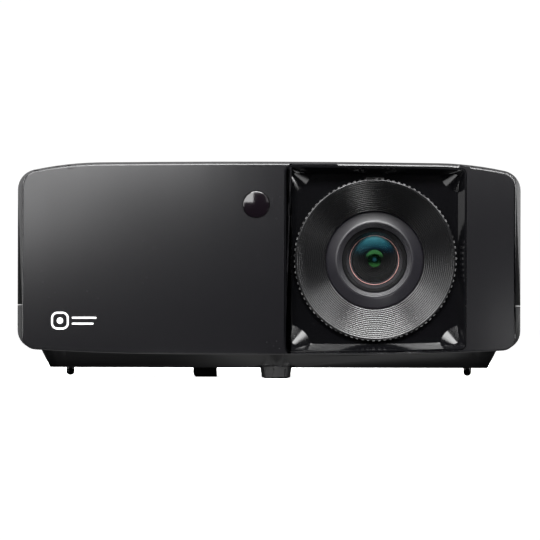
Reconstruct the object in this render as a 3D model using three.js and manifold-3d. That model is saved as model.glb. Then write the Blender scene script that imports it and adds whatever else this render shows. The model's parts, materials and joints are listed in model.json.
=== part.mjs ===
// A compact home projector with an off-centre lens, as an assembly of separate pieces.
//
// Millimetres, +Z up. The front faces -Y, +X is to the right of a viewer who faces the front, and the
// origin is on the table under the middle of the housing. Each piece is one closed solid in its own
// named mesh. Pieces that touch keep a small gap.

import * as THREE from "three";
import { mergeVertices } from "three/addons/utils/BufferGeometryUtils.js";
import Module from "manifold-3d";

const wasm = await Module();
wasm.setup();

// ---------------------------------------------------------------- driving dimensions

const WIDTH = 274; // across the housing
const DEPTH = 216; // from the middle of the front panel to the rear face
const TOP_Z = 118.2; // highest point of the housing
const BASE_Z = 5.8; // underside of the base
const SKIRT_Z = 13.6; // lower edge of the housing at its middle, above the base tray
const SPLIT_Z = 40; // parting line between the upper and the lower case
const WALL = 2.4; // case wall
const GAP = 0.3; // clearance between pieces that meet
const HALF = WIDTH / 2;
const FRONT_Y = -DEPTH / 2;
const REAR_Y = DEPTH / 2;

const CROWN_HALF = 92; // half length of the gently crowned top
const CROWN_RADIUS = 7050;
const SHOULDER_RADIUS = 180; // from the crown to the top corner
const TOP_CORNER = 11;
const CHIN_HALF = 45; // half length of the straight lower edge
const CHIN_RADIUS = 1400; // from the straight lower edge to the lower corner
const LOWER_CORNER = 10;
const REAR_CORNER = 14; // in plan
const REAR_TOP_ROUND = 8; // seen from the side
const REAR_LOWER_ROUND = 5;
const FRONT_CROWN = 2.5; // how far the front bulges between its ends

const PANEL_SIDE_INSET = 2.6; // the front panel stands inside the housing's outline by this much
const PANEL_TOP_INSET = 1.0;
const PANEL_THICK = 3.2;
const PANEL_DROP = 0.5; // the panel's lower edge hangs this far below the housing's
const PANEL_SKIRT_DEPTH = 5.6; // of the rim behind the panel that enters the case
const PANEL_SKIRT_WALL = 1.8;

const TRAY_HALF_WIDTH = 119.7; // base tray at its underside
const TRAY_FRONT_Y = FRONT_Y + 14;
const TRAY_REAR_Y = REAR_Y - 12;
const TRAY_CORNER = 9;
const TRAY_SLOPE = 0.5; // the tray's sides lean out by this much for each unit of height
const FLOOR_THICK = 2.4;

const HOOD_LEFT = 8.5; // lens hood, a squarish recess whose top and bottom follow the panel
const HOOD_RIGHT = 107.2;
const HOOD_TOP_MARGIN = 1.3; // from the panel's edge
const HOOD_BOTTOM_MARGIN = 1.7;
const HOOD_MOUTH_CORNER = 2.9;
const HOOD_FLOOR_CORNER = 12;
const HOOD_LIP = 0.8; // width of the rim round the mouth
const HOOD_FLOOR_DEPTH = 12.5;
const HOOD_TAPER = 4.1; // how far the walls come in between mouth and floor
const HOOD_WALL = 1.8;

const LENS_X = 57.9; // optical axis
const LENS_Z = 64.9;
const RING_RADIUS = 44.0; // focus ring, without its knurls
const RING_FRONT = 9; // behind the front plane
const RING_FLANGE = 3;
const RING_MOUTH = 43.5; // radius of the funnel at its front edge
const RING_THROAT = 27.2; // radius of the funnel at its inner end
const RING_FUNNEL_DEPTH = 26.5;
const RING_WALL = 1.65;
const RING_HUB_LENGTH = 12.3;
const RING_HUB_WALL = 2.2;
const KNURLS = 90;
const KNURL_HEIGHT = 0.4;
const CELL_LIP_RADIUS = 20.9; // front lip of the lens cell
const CELL_CONE_DEPTH = 2.6;
const GLASS_CLEAR_RADIUS = 15.6;
const GLASS_RADIUS = 17.0;
const SLEEVE_WALL = 1.7;
const LENS_FLANGE_RADIUS = 36;
const LENS_SEGMENTS = 36;

const IR_X = -7.1; // remote-control window
const IR_Z = 94.8;
const IR_RADIUS = 7.2;

const FOOT_X = 3.9; // adjustable front foot
const FOOT_Y = FRONT_Y + 16;
const KNOB_TOP_RADIUS = 8.7;
const KNOB_BOTTOM_RADIUS = 7.85;
const KNOB_TOP_Z = 6.6;
const KNOB_GROOVES = 8;
const STUD_RADIUS = 3;
const STUD_TOP_Z = 33.5;
const PAD_RADIUS = 6.5;
const PIN_X = 112.4; // slim rear feet
const PIN_Y = REAR_Y - 51;
const PIN_RADIUS = 2.3;
const STUB_X = [-41.8, -28.7]; // small block under the base
const STUB_Y = [FRONT_Y + 58, FRONT_Y + 74];
const STUB_BOTTOM_Z = 0.3;
const SCREW_X = 108; // case screws
const SCREW_FRONT_Y = FRONT_Y + 32;
const SCREW_REAR_Y = REAR_Y - 24;
const SCREW_RADIUS = 1.5;
const SCREW_HEAD_RADIUS = 3;
const POST_RADIUS = 4.2;

const VENT_Y = [-62, 62]; // side vents
const VENT_Z = [48, 96];
const VENT_SLATS = 8;
const SLAT_HEIGHT = 2.9;

const WINDOW_X = 104; // half width of the opening for the rear panel
const WINDOW_Z = [24, 90];
const REAR_PANEL_THICK = 2;
const REAR_SLOTS = 16;

const KEY_X = -52; // keypad, on the top
const KEY_Y = REAR_Y - 70;
const KEY_SIZE = [96, 52];
const KEY_CORNER = 10;
const KEY_TOP_Z = 116.9;
const BUTTON_RADIUS = 4.2;
const ARROW_SPACING = 13.5;

const FAN_SIZE = 70;
const FAN_DEPTH = 15;
const FAN_BLADES = 7;
const LIGHT_Y = FRONT_Y + 108; // the light path from the laser to the lens crosses the case here

const FLOOR_Z = BASE_Z + FLOOR_THICK;
const INNER_X = HALF - WALL; // inner face of a side wall
const INNER_REAR_Y = REAR_Y - WALL;
const FRONT_RADIUS = HALF ** 2 / (2 * FRONT_CROWN);

// ---------------------------------------------------------------- materials

function finish(color, roughness, metalness = 0) {
  return new THREE.MeshStandardMaterial({ color, roughness, metalness });
}

const GLOSS_BLACK = finish(0x0b0b0e, 0.22);
const SATIN_BLACK = finish(0x1b1b1d, 0.5);
const DEEP_BLACK = finish(0x060607, 0.08);
const RING_BLACK = finish(0x141416, 0.35);
const GLASS = new THREE.MeshStandardMaterial({
  color: 0x7fa8a0,
  roughness: 0.03,
  transparent: true,
  opacity: 0.35,
});
const RUBBER = finish(0x101010, 0.85);
const STEEL = finish(0x9a9ca0, 0.35, 1);
const ALUMINIUM = finish(0xb4b7ba, 0.4, 1);
const BRASS = finish(0xb08d45, 0.35, 1);
const BOARD_GREEN = finish(0x12452c, 0.55);
const BUTTON_GREY = finish(0x2a2b2e, 0.45);
const PORT_BLACK = finish(0x0d0d0e, 0.55);
const RIBBON_GREY = finish(0xc9c9c4, 0.6);
const PHOSPHOR = finish(0xd8b23a, 0.5);

// ---------------------------------------------------------------- solids from three.js geometry

// A closed three.js geometry as a manifold-3d solid, its shared vertices merged.
function solid(geometry) {
  const bare = geometry.index ? geometry.toNonIndexed() : geometry.clone();
  for (const name of Object.keys(bare.attributes)) {
    if (name !== "position") bare.deleteAttribute(name);
  }
  const merged = mergeVertices(bare, 1e-4);
  const corners = merged.index.array;
  const kept = [];
  for (let i = 0; i < corners.length; i += 3) {
    const [a, b, c] = [corners[i], corners[i + 1], corners[i + 2]];
    if (a !== b && b !== c && c !== a) kept.push(a, b, c);
  }
  return new wasm.Manifold(
    new wasm.Mesh({
      numProp: 3,
      vertProperties: merged.attributes.position.array,
      triVerts: new Uint32Array(kept),
    }),
  );
}

// A solid back as a three.js geometry with flat faces.
function geometryOf(made) {
  const { vertProperties, triVerts, numProp, numVert } = made.getMesh();
  const places = new Float32Array(numVert * 3);
  for (let i = 0; i < numVert; i++) {
    places.set(vertProperties.subarray(i * numProp, i * numProp + 3), i * 3);
  }
  const indexed = new THREE.BufferGeometry();
  indexed.setAttribute("position", new THREE.BufferAttribute(places, 3));
  indexed.setIndex(new THREE.BufferAttribute(new Uint32Array(triVerts), 1));
  const flat = indexed.toNonIndexed();
  flat.computeVertexNormals();
  return flat;
}

const joined = (...solids) => solids.reduce((a, b) => a.add(b));
const cut = (from, ...tools) => tools.reduce((a, b) => a.subtract(b), from);

function box([x0, x1], [y0, y1], [z0, z1]) {
  const made = new THREE.BoxGeometry(x1 - x0, y1 - y0, z1 - z0);
  made.translate((x0 + x1) / 2, (y0 + y1) / 2, (z0 + z1) / 2);
  return solid(made);
}

function shapeOf(outline, holes = []) {
  const shape = new THREE.Shape(outline);
  shape.holes = holes.map((hole) => new THREE.Path(hole));
  return shape;
}

// An outline in (x, y), raised from z0 to z1.
function slabZ(outline, z0, z1, holes) {
  const options = { depth: z1 - z0, bevelEnabled: false };
  const made = new THREE.ExtrudeGeometry(shapeOf(outline, holes), options);
  return solid(made.translate(0, 0, z0));
}

// An outline in (x, z), from y0 back to y1.
function slabY(outline, y0, y1, holes) {
  const options = { depth: y1 - y0, bevelEnabled: false };
  const made = new THREE.ExtrudeGeometry(shapeOf(outline, holes), options);
  return solid(made.rotateX(Math.PI / 2).translate(0, y1, 0));
}

// An outline in (y, z), from x0 across to x1.
function slabX(outline, x0, x1, holes) {
  const options = { depth: x1 - x0, bevelEnabled: false };
  const made = new THREE.ExtrudeGeometry(shapeOf(outline, holes), options);
  const turn = new THREE.Matrix4().makeBasis(
    new THREE.Vector3(0, 1, 0),
    new THREE.Vector3(0, 0, 1),
    new THREE.Vector3(1, 0, 0),
  );
  return solid(made.applyMatrix4(turn).translate(x0, 0, 0));
}

// A round bar along Z; its radius may change from bottom to top.
function rodZ(x, y, z0, z1, bottom, top = bottom, segments = 16) {
  const made = new THREE.CylinderGeometry(top, bottom, z1 - z0, segments);
  return solid(made.rotateX(Math.PI / 2).translate(x, y, (z0 + z1) / 2));
}

function rodX(y, z, x0, x1, radius, segments = 20) {
  const made = new THREE.CylinderGeometry(radius, radius, x1 - x0, segments);
  return solid(made.rotateZ(-Math.PI / 2).translate((x0 + x1) / 2, y, z));
}

function rodY(x, z, y0, y1, radius, segments = 20) {
  const made = new THREE.CylinderGeometry(radius, radius, y1 - y0, segments);
  return solid(made.translate(x, (y0 + y1) / 2, z));
}

// A closed profile of [radius, y] turned about the Y axis.
function turned(profile, segments = LENS_SEGMENTS) {
  const points = profile.map(([r, y]) => new THREE.Vector2(r, y));
  if (THREE.ShapeUtils.area(points) < 0) points.reverse();
  if (points[0].x > 0) points.push(points[0].clone());
  const made = solid(new THREE.LatheGeometry(points, segments));
  return made;
}

// A solid whose cross-section changes: rings of points, each with as many points as the next.
function lofted(rings) {
  const count = rings[0].length;
  const places = rings.flat().flatMap((p) => [p.x, p.y, p.z]);
  const index = [];
  for (let k = 0; k + 1 < rings.length; k++) {
    for (let i = 0; i < count; i++) {
      const [a, b] = [k * count + i, k * count + ((i + 1) % count)];
      index.push(a, b, b + count, a, b + count, a + count);
    }
  }
  const ends = [
    [0, true],
    [(rings.length - 1) * count, false],
  ];
  for (const [first, turnedRound] of ends) {
    for (let i = 1; i + 1 < count; i++) {
      const [a, b] = [first + i, first + i + 1];
      index.push(first, ...(turnedRound ? [b, a] : [a, b]));
    }
  }
  const made = new THREE.BufferGeometry();
  made.setAttribute("position", new THREE.Float32BufferAttribute(places, 3));
  made.setIndex(index);
  return solid(made);
}

// ---------------------------------------------------------------- outlines

// Points of an arc about (cx, cy), from one angle to another, both in radians.
function arc(cx, cy, radius, from, to, steps) {
  const points = [];
  for (let i = 0; i <= steps; i++) {
    const angle = from + ((to - from) * i) / steps;
    const [x, y] = [cx + radius * Math.cos(angle), cy + radius * Math.sin(angle)];
    points.push(new THREE.Vector2(x, y));
  }
  return points;
}

function roundedRectangle(cx, cy, width, height, corner, steps = 5) {
  const [x, y] = [width / 2 - corner, height / 2 - corner];
  const quarter = Math.PI / 2;
  return [
    ...arc(cx + x, cy + y, corner, 0, quarter, steps),
    ...arc(cx - x, cy + y, corner, quarter, 2 * quarter, steps),
    ...arc(cx - x, cy - y, corner, 2 * quarter, 3 * quarter, steps),
    ...arc(cx + x, cy - y, corner, 3 * quarter, 4 * quarter, steps),
  ];
}

const circle = (cx, cy, radius, steps = 24) =>
  arc(cx, cy, radius, 0, 2 * Math.PI, steps).slice(0, -1);

// How far the top has dropped below its highest point, x from the middle, before the corner.
function topDrop(x) {
  const away = Math.abs(x);
  const crown = CROWN_RADIUS - Math.sqrt(CROWN_RADIUS ** 2 - Math.min(away, CROWN_HALF) ** 2);
  const past = Math.max(0, away - CROWN_HALF);
  const slope = CROWN_HALF / CROWN_RADIUS;
  return crown + past * slope + past ** 2 / (2 * SHOULDER_RADIUS);
}

// How far the lower edge has risen above its lowest stretch.
function chinRise(x) {
  return Math.max(0, Math.abs(x) - CHIN_HALF) ** 2 / (2 * CHIN_RADIUS);
}

// Where a curve of slope `slope(x)` meets a corner of that radius, tangent to it and to the side.
function cornerStart(halfWidth, corner, slope) {
  let x = halfWidth - corner;
  for (let i = 0; i < 20; i++) {
    x = halfWidth - corner * (1 - Math.sin(Math.atan(slope(x))));
  }
  return x;
}

const topSlope = (x) => CROWN_HALF / CROWN_RADIUS + Math.max(0, x - CROWN_HALF) / SHOULDER_RADIUS;
const chinSlope = (x) => Math.max(0, x - CHIN_HALF) / CHIN_RADIUS;

// The housing's outline in (x, z): crowned top, shoulders, corners and a lower edge that lifts at its ends.
function housingOutline(sideInset, topInset, bottomInset) {
  const halfWidth = HALF - sideInset;
  const quarter = Math.PI / 2;
  const upper = TOP_CORNER - Math.min(sideInset, TOP_CORNER / 2);
  const lower = LOWER_CORNER - Math.min(sideInset, LOWER_CORNER / 2);
  const topEnd = cornerStart(halfWidth, upper, topSlope);
  const chinEnd = cornerStart(halfWidth, lower, chinSlope);
  const topTilt = Math.atan(topSlope(topEnd));
  const chinTilt = Math.atan(chinSlope(chinEnd));
  const topZ = (x) => TOP_Z - topInset - topDrop(x);
  const chinZ = (x) => SKIRT_Z + bottomInset + chinRise(x);

  const right = [];
  for (const x of [0, 30, 60, CROWN_HALF]) right.push(new THREE.Vector2(x, topZ(x)));
  for (let i = 1; i < 6; i++) {
    const x = CROWN_HALF + ((topEnd - CROWN_HALF) * i) / 6;
    right.push(new THREE.Vector2(x, topZ(x)));
  }
  const topCentre = [
    topEnd - upper * Math.sin(topTilt),
    topZ(topEnd) - upper * Math.cos(topTilt),
  ];
  right.push(...arc(...topCentre, upper, quarter - topTilt, 0, 8));
  const chinCentre = [
    chinEnd - lower * Math.sin(chinTilt),
    chinZ(chinEnd) + lower * Math.cos(chinTilt),
  ];
  right.push(...arc(...chinCentre, lower, 0, chinTilt - quarter, 8));
  for (let i = 4; i >= 0; i--) {
    const x = CHIN_HALF + ((chinEnd - CHIN_HALF) * i) / 5;
    right.push(new THREE.Vector2(x, chinZ(x)));
  }
  const left = right.slice(1).map((p) => new THREE.Vector2(-p.x, p.y));
  return [...left, ...right.reverse()];
}

const frontBow = (x) => x ** 2 / (2 * FRONT_RADIUS);

// The plan of the housing in (x, y): a bowed front, straight sides and rounded rear corners.
function housingPlan(frontDepth, sideInset, rearInset) {
  const halfWidth = HALF - sideInset;
  const rearY = REAR_Y - rearInset;
  const corner = REAR_CORNER - sideInset;
  const front = [];
  for (let i = -8; i <= 8; i++) {
    const x = (halfWidth * i) / 8;
    front.push(new THREE.Vector2(x, FRONT_Y + frontDepth + frontBow(x)));
  }
  return [
    ...front,
    ...arc(halfWidth - corner, rearY - corner, corner, 0, Math.PI / 2, 6),
    ...arc(corner - halfWidth, rearY - corner, corner, Math.PI / 2, Math.PI, 6),
  ];
}

// ---------------------------------------------------------------- the assembly

const projector = new THREE.Group();

function piece(name, made, material, parent = projector) {
  const mesh = new THREE.Mesh(geometryOf(made), material);
  mesh.name = name;
  parent.add(mesh);
  return mesh;
}

function placed(x, y, z, parent = projector) {
  const group = new THREE.Group();
  group.position.set(x, y, z);
  parent.add(group);
  return group;
}

// ---------------------------------------------------------------- case

const CASE_FRONT = PANEL_THICK + GAP; // the case starts this far behind the panel's front face

// The side profile in (y, z): a long block with its two rear edges rounded.
function housingProfile(inset) {
  const [front, rear] = [FRONT_Y - 30, REAR_Y - inset];
  const [low, high] = [SKIRT_Z + inset, TOP_Z - inset];
  const [lower, upper] = [REAR_LOWER_ROUND - inset / 2, REAR_TOP_ROUND - inset / 2];
  return [
    new THREE.Vector2(front, low),
    ...arc(rear - lower, low + lower, lower, -Math.PI / 2, 0, 3),
    ...arc(rear - upper, high - upper, upper, 0, Math.PI / 2, 4),
    new THREE.Vector2(front, high),
  ];
}

// The housing as a solid block: the outline carried along the plan.
function housingBlock(inset, frontDepth) {
  const along = slabY(housingOutline(inset, inset, inset), FRONT_Y - 10, REAR_Y + 10);
  const plan = slabZ(housingPlan(frontDepth, inset, inset), 0, TOP_Z + 10);
  return along.intersect(plan).intersect(slabX(housingProfile(inset), -WIDTH, WIDTH));
}

const screwPlaces = [];
for (const [side, x] of [["left", -SCREW_X], ["right", SCREW_X]]) {
  screwPlaces.push([`front_${side}`, x, SCREW_FRONT_Y], [`rear_${side}`, x, SCREW_REAR_Y]);
}

function caseShell() {
  return cut(housingBlock(0, CASE_FRONT), housingBlock(WALL, CASE_FRONT - 20));
}

function rearWindow() {
  return box([-WINDOW_X, WINDOW_X], [INNER_REAR_Y - 5, REAR_Y + 1], WINDOW_Z);
}

function upperCase() {
  const above = box([-WIDTH, WIDTH], [-DEPTH, DEPTH], [SPLIT_Z, TOP_Z + 20]);
  let made = caseShell().intersect(above);
  const hollow = slabY(housingOutline(0, 0, 0), FRONT_Y, REAR_Y);
  for (const [, x, y] of screwPlaces) {
    const post = rodZ(x, y, SPLIT_Z, TOP_Z, POST_RADIUS).intersect(hollow);
    made = joined(made, post);
  }
  for (const [, x, y] of screwPlaces) {
    made = cut(made, rodZ(x, y, SPLIT_Z - 1, SPLIT_Z + 14, SCREW_RADIUS + GAP, undefined, 10));
  }
  const [y0, y1] = VENT_Y;
  for (const side of [-1, 1]) {
    const [near, far] = [side * (INNER_X - 5), side * (HALF + 5)];
    made = cut(made, box([Math.min(near, far), Math.max(near, far)], [y0, y1], VENT_Z));
  }
  const keypad = roundedRectangle(KEY_X, KEY_Y, ...KEY_SIZE, KEY_CORNER);
  return cut(made, rearWindow(), slabZ(keypad, KEY_TOP_Z - 12, TOP_Z + 5));
}

// One ring of the tray at a height, grown or shrunk all round.
function trayRing(z, inset) {
  const grow = (z - BASE_Z) * TRAY_SLOPE - inset;
  const [y0, y1] = [TRAY_FRONT_Y - grow, TRAY_REAR_Y + grow];
  const width = 2 * (TRAY_HALF_WIDTH + grow);
  const flat = roundedRectangle(0, (y0 + y1) / 2, width, y1 - y0, TRAY_CORNER + grow, 6);
  return flat.map((p) => new THREE.Vector3(p.x, p.y, z));
}

const SKIRT_TOP_Z = SKIRT_Z + WALL;
const BOSS_TOP_Z = SKIRT_TOP_Z + 0.5;
const KNOB_POCKET_Z = KNOB_TOP_Z + 0.4;
const KNOB_POCKET_RADIUS = KNOB_TOP_RADIUS + 2.2;
const INSERT_RADIUS = STUD_RADIUS + GAP + 1.9;
const WASHER_Z = STUD_TOP_Z - 2.5;
const TAB_HALF = 1.5;
const ceilingHoles = [
  [-60, FRONT_Y + 53],
  [60, FRONT_Y + 53],
  [0, REAR_Y - 38],
];
const BOARD_Z = 28.8; // underside of the main board
const boardPosts = [
  [-38, REAR_Y - 60],
  [80, REAR_Y - 60],
  [-12, REAR_Y - 28],
  [80, REAR_Y - 28],
];

function lowerCase() {
  const below = box([-WIDTH, WIDTH], [-DEPTH, DEPTH], [SKIRT_Z - 10, SPLIT_Z - GAP]);
  const shell = housingBlock(0, CASE_FRONT).intersect(below);
  const trayTop = SKIRT_TOP_Z + 1;
  const tray = lofted([trayRing(BASE_Z, 0), trayRing(trayTop, 0)]);
  const boss = rodZ(FOOT_X, FOOT_Y, BASE_Z, SKIRT_Z + 1, 8.3, 7.1);
  const hollow = housingBlock(WALL, CASE_FRONT - 20);
  const trayHollow = lofted([trayRing(FLOOR_Z, WALL), trayRing(trayTop + 1, WALL)]);
  let made = cut(joined(shell, tray, boss), hollow, trayHollow);

  // Posts and ribs that stand on the floor.
  made = joined(made, rodZ(FOOT_X, FOOT_Y, FLOOR_Z - 1, BOSS_TOP_Z, 6.5));
  for (const side of [-1, 1]) {
    const near = FOOT_X + side * (TAB_HALF + GAP);
    const far = near + side * 2;
    const span = [Math.min(near, far), Math.max(near, far)];
    made = joined(made, box(span, [FOOT_Y + 7.2, FOOT_Y + 11], [FLOOR_Z - 1, SPLIT_Z - 2]));
    made = joined(made, rodZ(side * PIN_X, PIN_Y, FLOOR_Z - 1, FLOOR_Z + 6, 4));
  }
  for (const [, x, y] of screwPlaces) {
    made = joined(made, rodZ(x, y, FLOOR_Z - 1, SPLIT_Z - GAP, POST_RADIUS));
  }
  for (const [x, y] of ceilingHoles) {
    made = joined(made, rodZ(x, y, FLOOR_Z - 1, FLOOR_Z + 6, POST_RADIUS));
  }
  for (const [x, y] of boardPosts) {
    made = joined(made, rodZ(x, y, FLOOR_Z - 1, BOARD_Z - GAP, 2.8, 2.8, 10));
  }

  // Holes from below.
  for (const [, x, y] of screwPlaces) {
    made = cut(made, rodZ(x, y, 0, BASE_Z + 6, SCREW_HEAD_RADIUS + GAP));
    made = cut(made, rodZ(x, y, 0, SPLIT_Z + 5, SCREW_RADIUS + GAP, undefined, 10));
  }
  for (const [x, y] of ceilingHoles) {
    made = cut(made, rodZ(x, y, 0, FLOOR_Z + 4.5, 2, 2, 10));
  }
  for (const side of [-1, 1]) {
    made = cut(made, rodZ(side * PIN_X, PIN_Y, 0, FLOOR_Z + 4.5, PIN_RADIUS - 0.4, undefined, 12));
  }
  const stubX = (STUB_X[0] + STUB_X[1]) / 2;
  const stubY = (STUB_Y[0] + STUB_Y[1]) / 2;
  made = cut(made, rodZ(stubX, stubY, 0, FLOOR_Z + 1, 2 + GAP, undefined, 12));
  made = cut(made, rodZ(FOOT_X, FOOT_Y, 0, KNOB_POCKET_Z, KNOB_POCKET_RADIUS, undefined, 32));
  made = cut(made, rodZ(FOOT_X, FOOT_Y, 0, SPLIT_Z, STUD_RADIUS + GAP));
  made = cut(made, rodZ(FOOT_X, FOOT_Y, BOSS_TOP_Z - 6, SPLIT_Z, INSERT_RADIUS + GAP));
  return cut(made, rearWindow(), hoodOpening());
}

piece("upper_case", upperCase(), SATIN_BLACK);
piece("lower_case", lowerCase(), SATIN_BLACK);

// A pan-head screw, head down in its counterbore.
function caseScrew() {
  const head = rodZ(0, 0, 0, 2.2, SCREW_HEAD_RADIUS, SCREW_HEAD_RADIUS, 12);
  const slot = box([-2, 2], [-0.4, 0.4], [-1, 0.8]);
  const cross = box([-0.4, 0.4], [-2, 2], [-1, 0.8]);
  const shank = rodZ(0, 0, 2, SPLIT_Z - BASE_Z + 6, SCREW_RADIUS, SCREW_RADIUS, 8);
  return cut(joined(head, shank), slot, cross);
}

for (const [name, x, y] of screwPlaces) {
  piece(`case_screw_${name}`, caseScrew(), STEEL, placed(x, y, BASE_Z + 3.5));
}

// ---------------------------------------------------------------- front panel and remote window

// The hood's outline: straight sides, with a top and bottom that follow the panel's edges.
function hoodRing(inset, corner, yAt) {
  const [x0, x1] = [HOOD_LEFT + inset, HOOD_RIGHT - inset];
  const top = (x) => TOP_Z - PANEL_TOP_INSET - topDrop(x) - HOOD_TOP_MARGIN - inset;
  const bottom = (x) => SKIRT_Z - PANEL_DROP + chinRise(x) + HOOD_BOTTOM_MARGIN + inset;
  const quarter = Math.PI / 2;
  const [a, b] = [x0 + corner, x1 - corner];
  const between = (edge, from, to) =>
    [1, 2, 3, 4].map((i) => {
      const x = from + ((to - from) * i) / 5;
      return new THREE.Vector2(x, edge(x));
    });
  const points = [
    ...arc(b, top(b) - corner, corner, 0, quarter, 6),
    ...between(top, b, a),
    ...arc(a, top(a) - corner, corner, quarter, 2 * quarter, 6),
    ...arc(a, bottom(a) + corner, corner, 2 * quarter, 3 * quarter, 6),
    ...between(bottom, a, b),
    ...arc(b, bottom(b) + corner, corner, 3 * quarter, 4 * quarter, 6),
  ];
  // Seen from the front, the ring runs the way that makes a loft towards +Y face outwards.
  return points.reverse().map((p) => new THREE.Vector3(p.x, yAt(p.x), p.y));
}

// The straight passage that the hood stands in.
function hoodOpening() {
  const mouth = (y) => hoodRing(-GAP, HOOD_MOUTH_CORNER + GAP, () => y);
  return lofted([mouth(FRONT_Y - 5), mouth(FRONT_Y + 15)]);
}

function frontPanel() {
  const face = slabY(
    housingOutline(PANEL_SIDE_INSET, PANEL_TOP_INSET, -PANEL_DROP),
    FRONT_Y - 1,
    FRONT_Y + 20,
  );
  const front = slabZ(housingPlan(0, 0, 0), 0, TOP_Z + 10);
  const back = slabZ(housingPlan(PANEL_THICK, -10, 0), -1, TOP_Z + 11);
  const inset = WALL + GAP;
  const skirtBack = FRONT_Y + PANEL_THICK + PANEL_SKIRT_DEPTH;
  const outer = housingOutline(inset, inset, inset);
  const innerInset = inset + PANEL_SKIRT_WALL;
  const inner = housingOutline(innerInset, innerInset, innerInset);
  const skirt = cut(
    slabY(outer, FRONT_Y, skirtBack).intersect(front),
    slabY(inner, FRONT_Y - 1, skirtBack + 1),
  );
  const plate = cut(face.intersect(front), back);
  return cut(
    joined(plate, skirt),
    hoodOpening(),
    rodY(IR_X, IR_Z, FRONT_Y - 5, FRONT_Y + 15, IR_RADIUS + GAP, 32),
  );
}

piece("front_panel", frontPanel(), GLOSS_BLACK);

const irFront = FRONT_Y + frontBow(IR_X);
const irGroup = placed(IR_X, irFront, IR_Z);
const irWindow = joined(
  rodY(0, 0, 0.3, PANEL_THICK + 0.9, IR_RADIUS, 32),
  rodY(0, 0, PANEL_THICK + 0.4, PANEL_THICK + 1.8, IR_RADIUS + 1.6, 32),
);
piece("ir_window", irWindow, DEEP_BLACK, irGroup);
const irSensor = joined(
  box([-9, 9], [8.6, 10.2], [-11, 11]),
  box([-3, 3], [5.8, 8.8], [-3.5, 3.5]),
);
piece("ir_sensor_board", irSensor, BOARD_GREEN, irGroup);

// ---------------------------------------------------------------- lens hood

const HOOD_FLOOR_Y = FRONT_Y + HOOD_FLOOR_DEPTH;

function lensHood() {
  const mouthY = (x) => FRONT_Y + frontBow(x);
  const floorY = () => HOOD_FLOOR_Y;
  const inner = lofted([
    hoodRing(HOOD_LIP, HOOD_MOUTH_CORNER - HOOD_LIP, (x) => mouthY(x) - 2),
    hoodRing(HOOD_LIP, HOOD_MOUTH_CORNER - HOOD_LIP, mouthY),
    hoodRing(HOOD_TAPER, HOOD_FLOOR_CORNER, floorY),
  ]);
  const outer = lofted([
    hoodRing(0, HOOD_MOUTH_CORNER, mouthY),
    hoodRing(0, HOOD_MOUTH_CORNER, (x) => mouthY(x) + 1),
    hoodRing(HOOD_TAPER - HOOD_WALL, HOOD_FLOOR_CORNER, () => HOOD_FLOOR_Y + HOOD_WALL),
  ]);
  const throat = RING_MOUTH + GAP / 2;
  return cut(outer, inner, rodY(LENS_X, LENS_Z, FRONT_Y, HOOD_FLOOR_Y + 10, throat, 64));
}

piece("lens_hood", lensHood(), DEEP_BLACK);

// ---------------------------------------------------------------- lens, on its own axis from the front plane back

const optics = placed(LENS_X, FRONT_Y, LENS_Z);

const ringEnd = RING_FRONT + RING_FUNNEL_DEPTH; // inner end of the funnel
const funnelSlope = (RING_MOUTH - RING_THROAT) / RING_FUNNEL_DEPTH;
const hubInner = RING_THROAT + SLEEVE_WALL + 2 * GAP - 0.2;
const hubOuter = hubInner + RING_HUB_WALL;

// The knurled rim: teeth as a wavy outline.
function knurledRim() {
  const points = [];
  for (let i = 0; i < 2 * KNURLS; i++) {
    const radius = RING_RADIUS + (i % 2 ? KNURL_HEIGHT : 0);
    const angle = (Math.PI * i) / KNURLS;
    points.push(new THREE.Vector2(radius * Math.cos(angle), radius * Math.sin(angle)));
  }
  const hole = circle(0, 0, RING_RADIUS - 0.4, 90);
  return slabY(points, RING_FRONT + 0.3, RING_FRONT + RING_FLANGE, [hole]);
}

function focusRing() {
  const hubFrontOuter = RING_FRONT + (RING_MOUTH - (hubOuter - RING_WALL)) / funnelSlope;
  const flangeBack = RING_FRONT + RING_FLANGE;
  const body = turned(
    [
      [RING_MOUTH, RING_FRONT],
      [RING_RADIUS, RING_FRONT + 0.3],
      [RING_RADIUS, flangeBack],
      [RING_MOUTH - funnelSlope * RING_FLANGE + RING_WALL, flangeBack],
      [hubOuter, hubFrontOuter],
      [hubOuter, ringEnd + RING_HUB_LENGTH],
      [hubInner, ringEnd + RING_HUB_LENGTH],
      [hubInner, ringEnd + 2.2],
      [RING_THROAT, ringEnd + 2.2],
      [RING_THROAT, ringEnd],
    ],
    60,
  );
  const tab = box([-5, 5], [RING_FRONT + 0.5, flangeBack], [RING_RADIUS - 0.4, RING_RADIUS + 1]);
  return joined(body, knurledRim(), tab);
}

piece("focus_ring", focusRing(), RING_BLACK, optics);

const cellRadius = RING_THROAT - GAP;
const cellFront = ringEnd + 0.5;
const lipFront = cellFront - CELL_CONE_DEPTH;
const glassSeat = cellFront + 7.8;
const cellBack = cellFront + 22;
const innerBore = 12.5;

const cell = turned([
  [cellRadius, cellFront],
  [cellRadius, cellBack],
  [innerBore, cellBack],
  [innerBore, glassSeat + 2.7],
  [14.5, glassSeat + 2.7],
  [14.5, glassSeat],
  [GLASS_RADIUS + 1.1, glassSeat],
  [GLASS_RADIUS + 1.1, lipFront + 3.8],
  [GLASS_RADIUS + 2.2, lipFront + 3.8],
  [GLASS_RADIUS + 2.2, lipFront + 2],
  [CELL_LIP_RADIUS - 0.6, lipFront + 2],
  [CELL_LIP_RADIUS - 0.6, lipFront],
  [CELL_LIP_RADIUS, lipFront],
]);
piece("lens_cell", cell, SATIN_BLACK, optics);

// A lens with spherical faces: how far its face has fallen back at a radius.
const sag = (curve, r) => curve - Math.sqrt(curve ** 2 - r ** 2);

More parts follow.
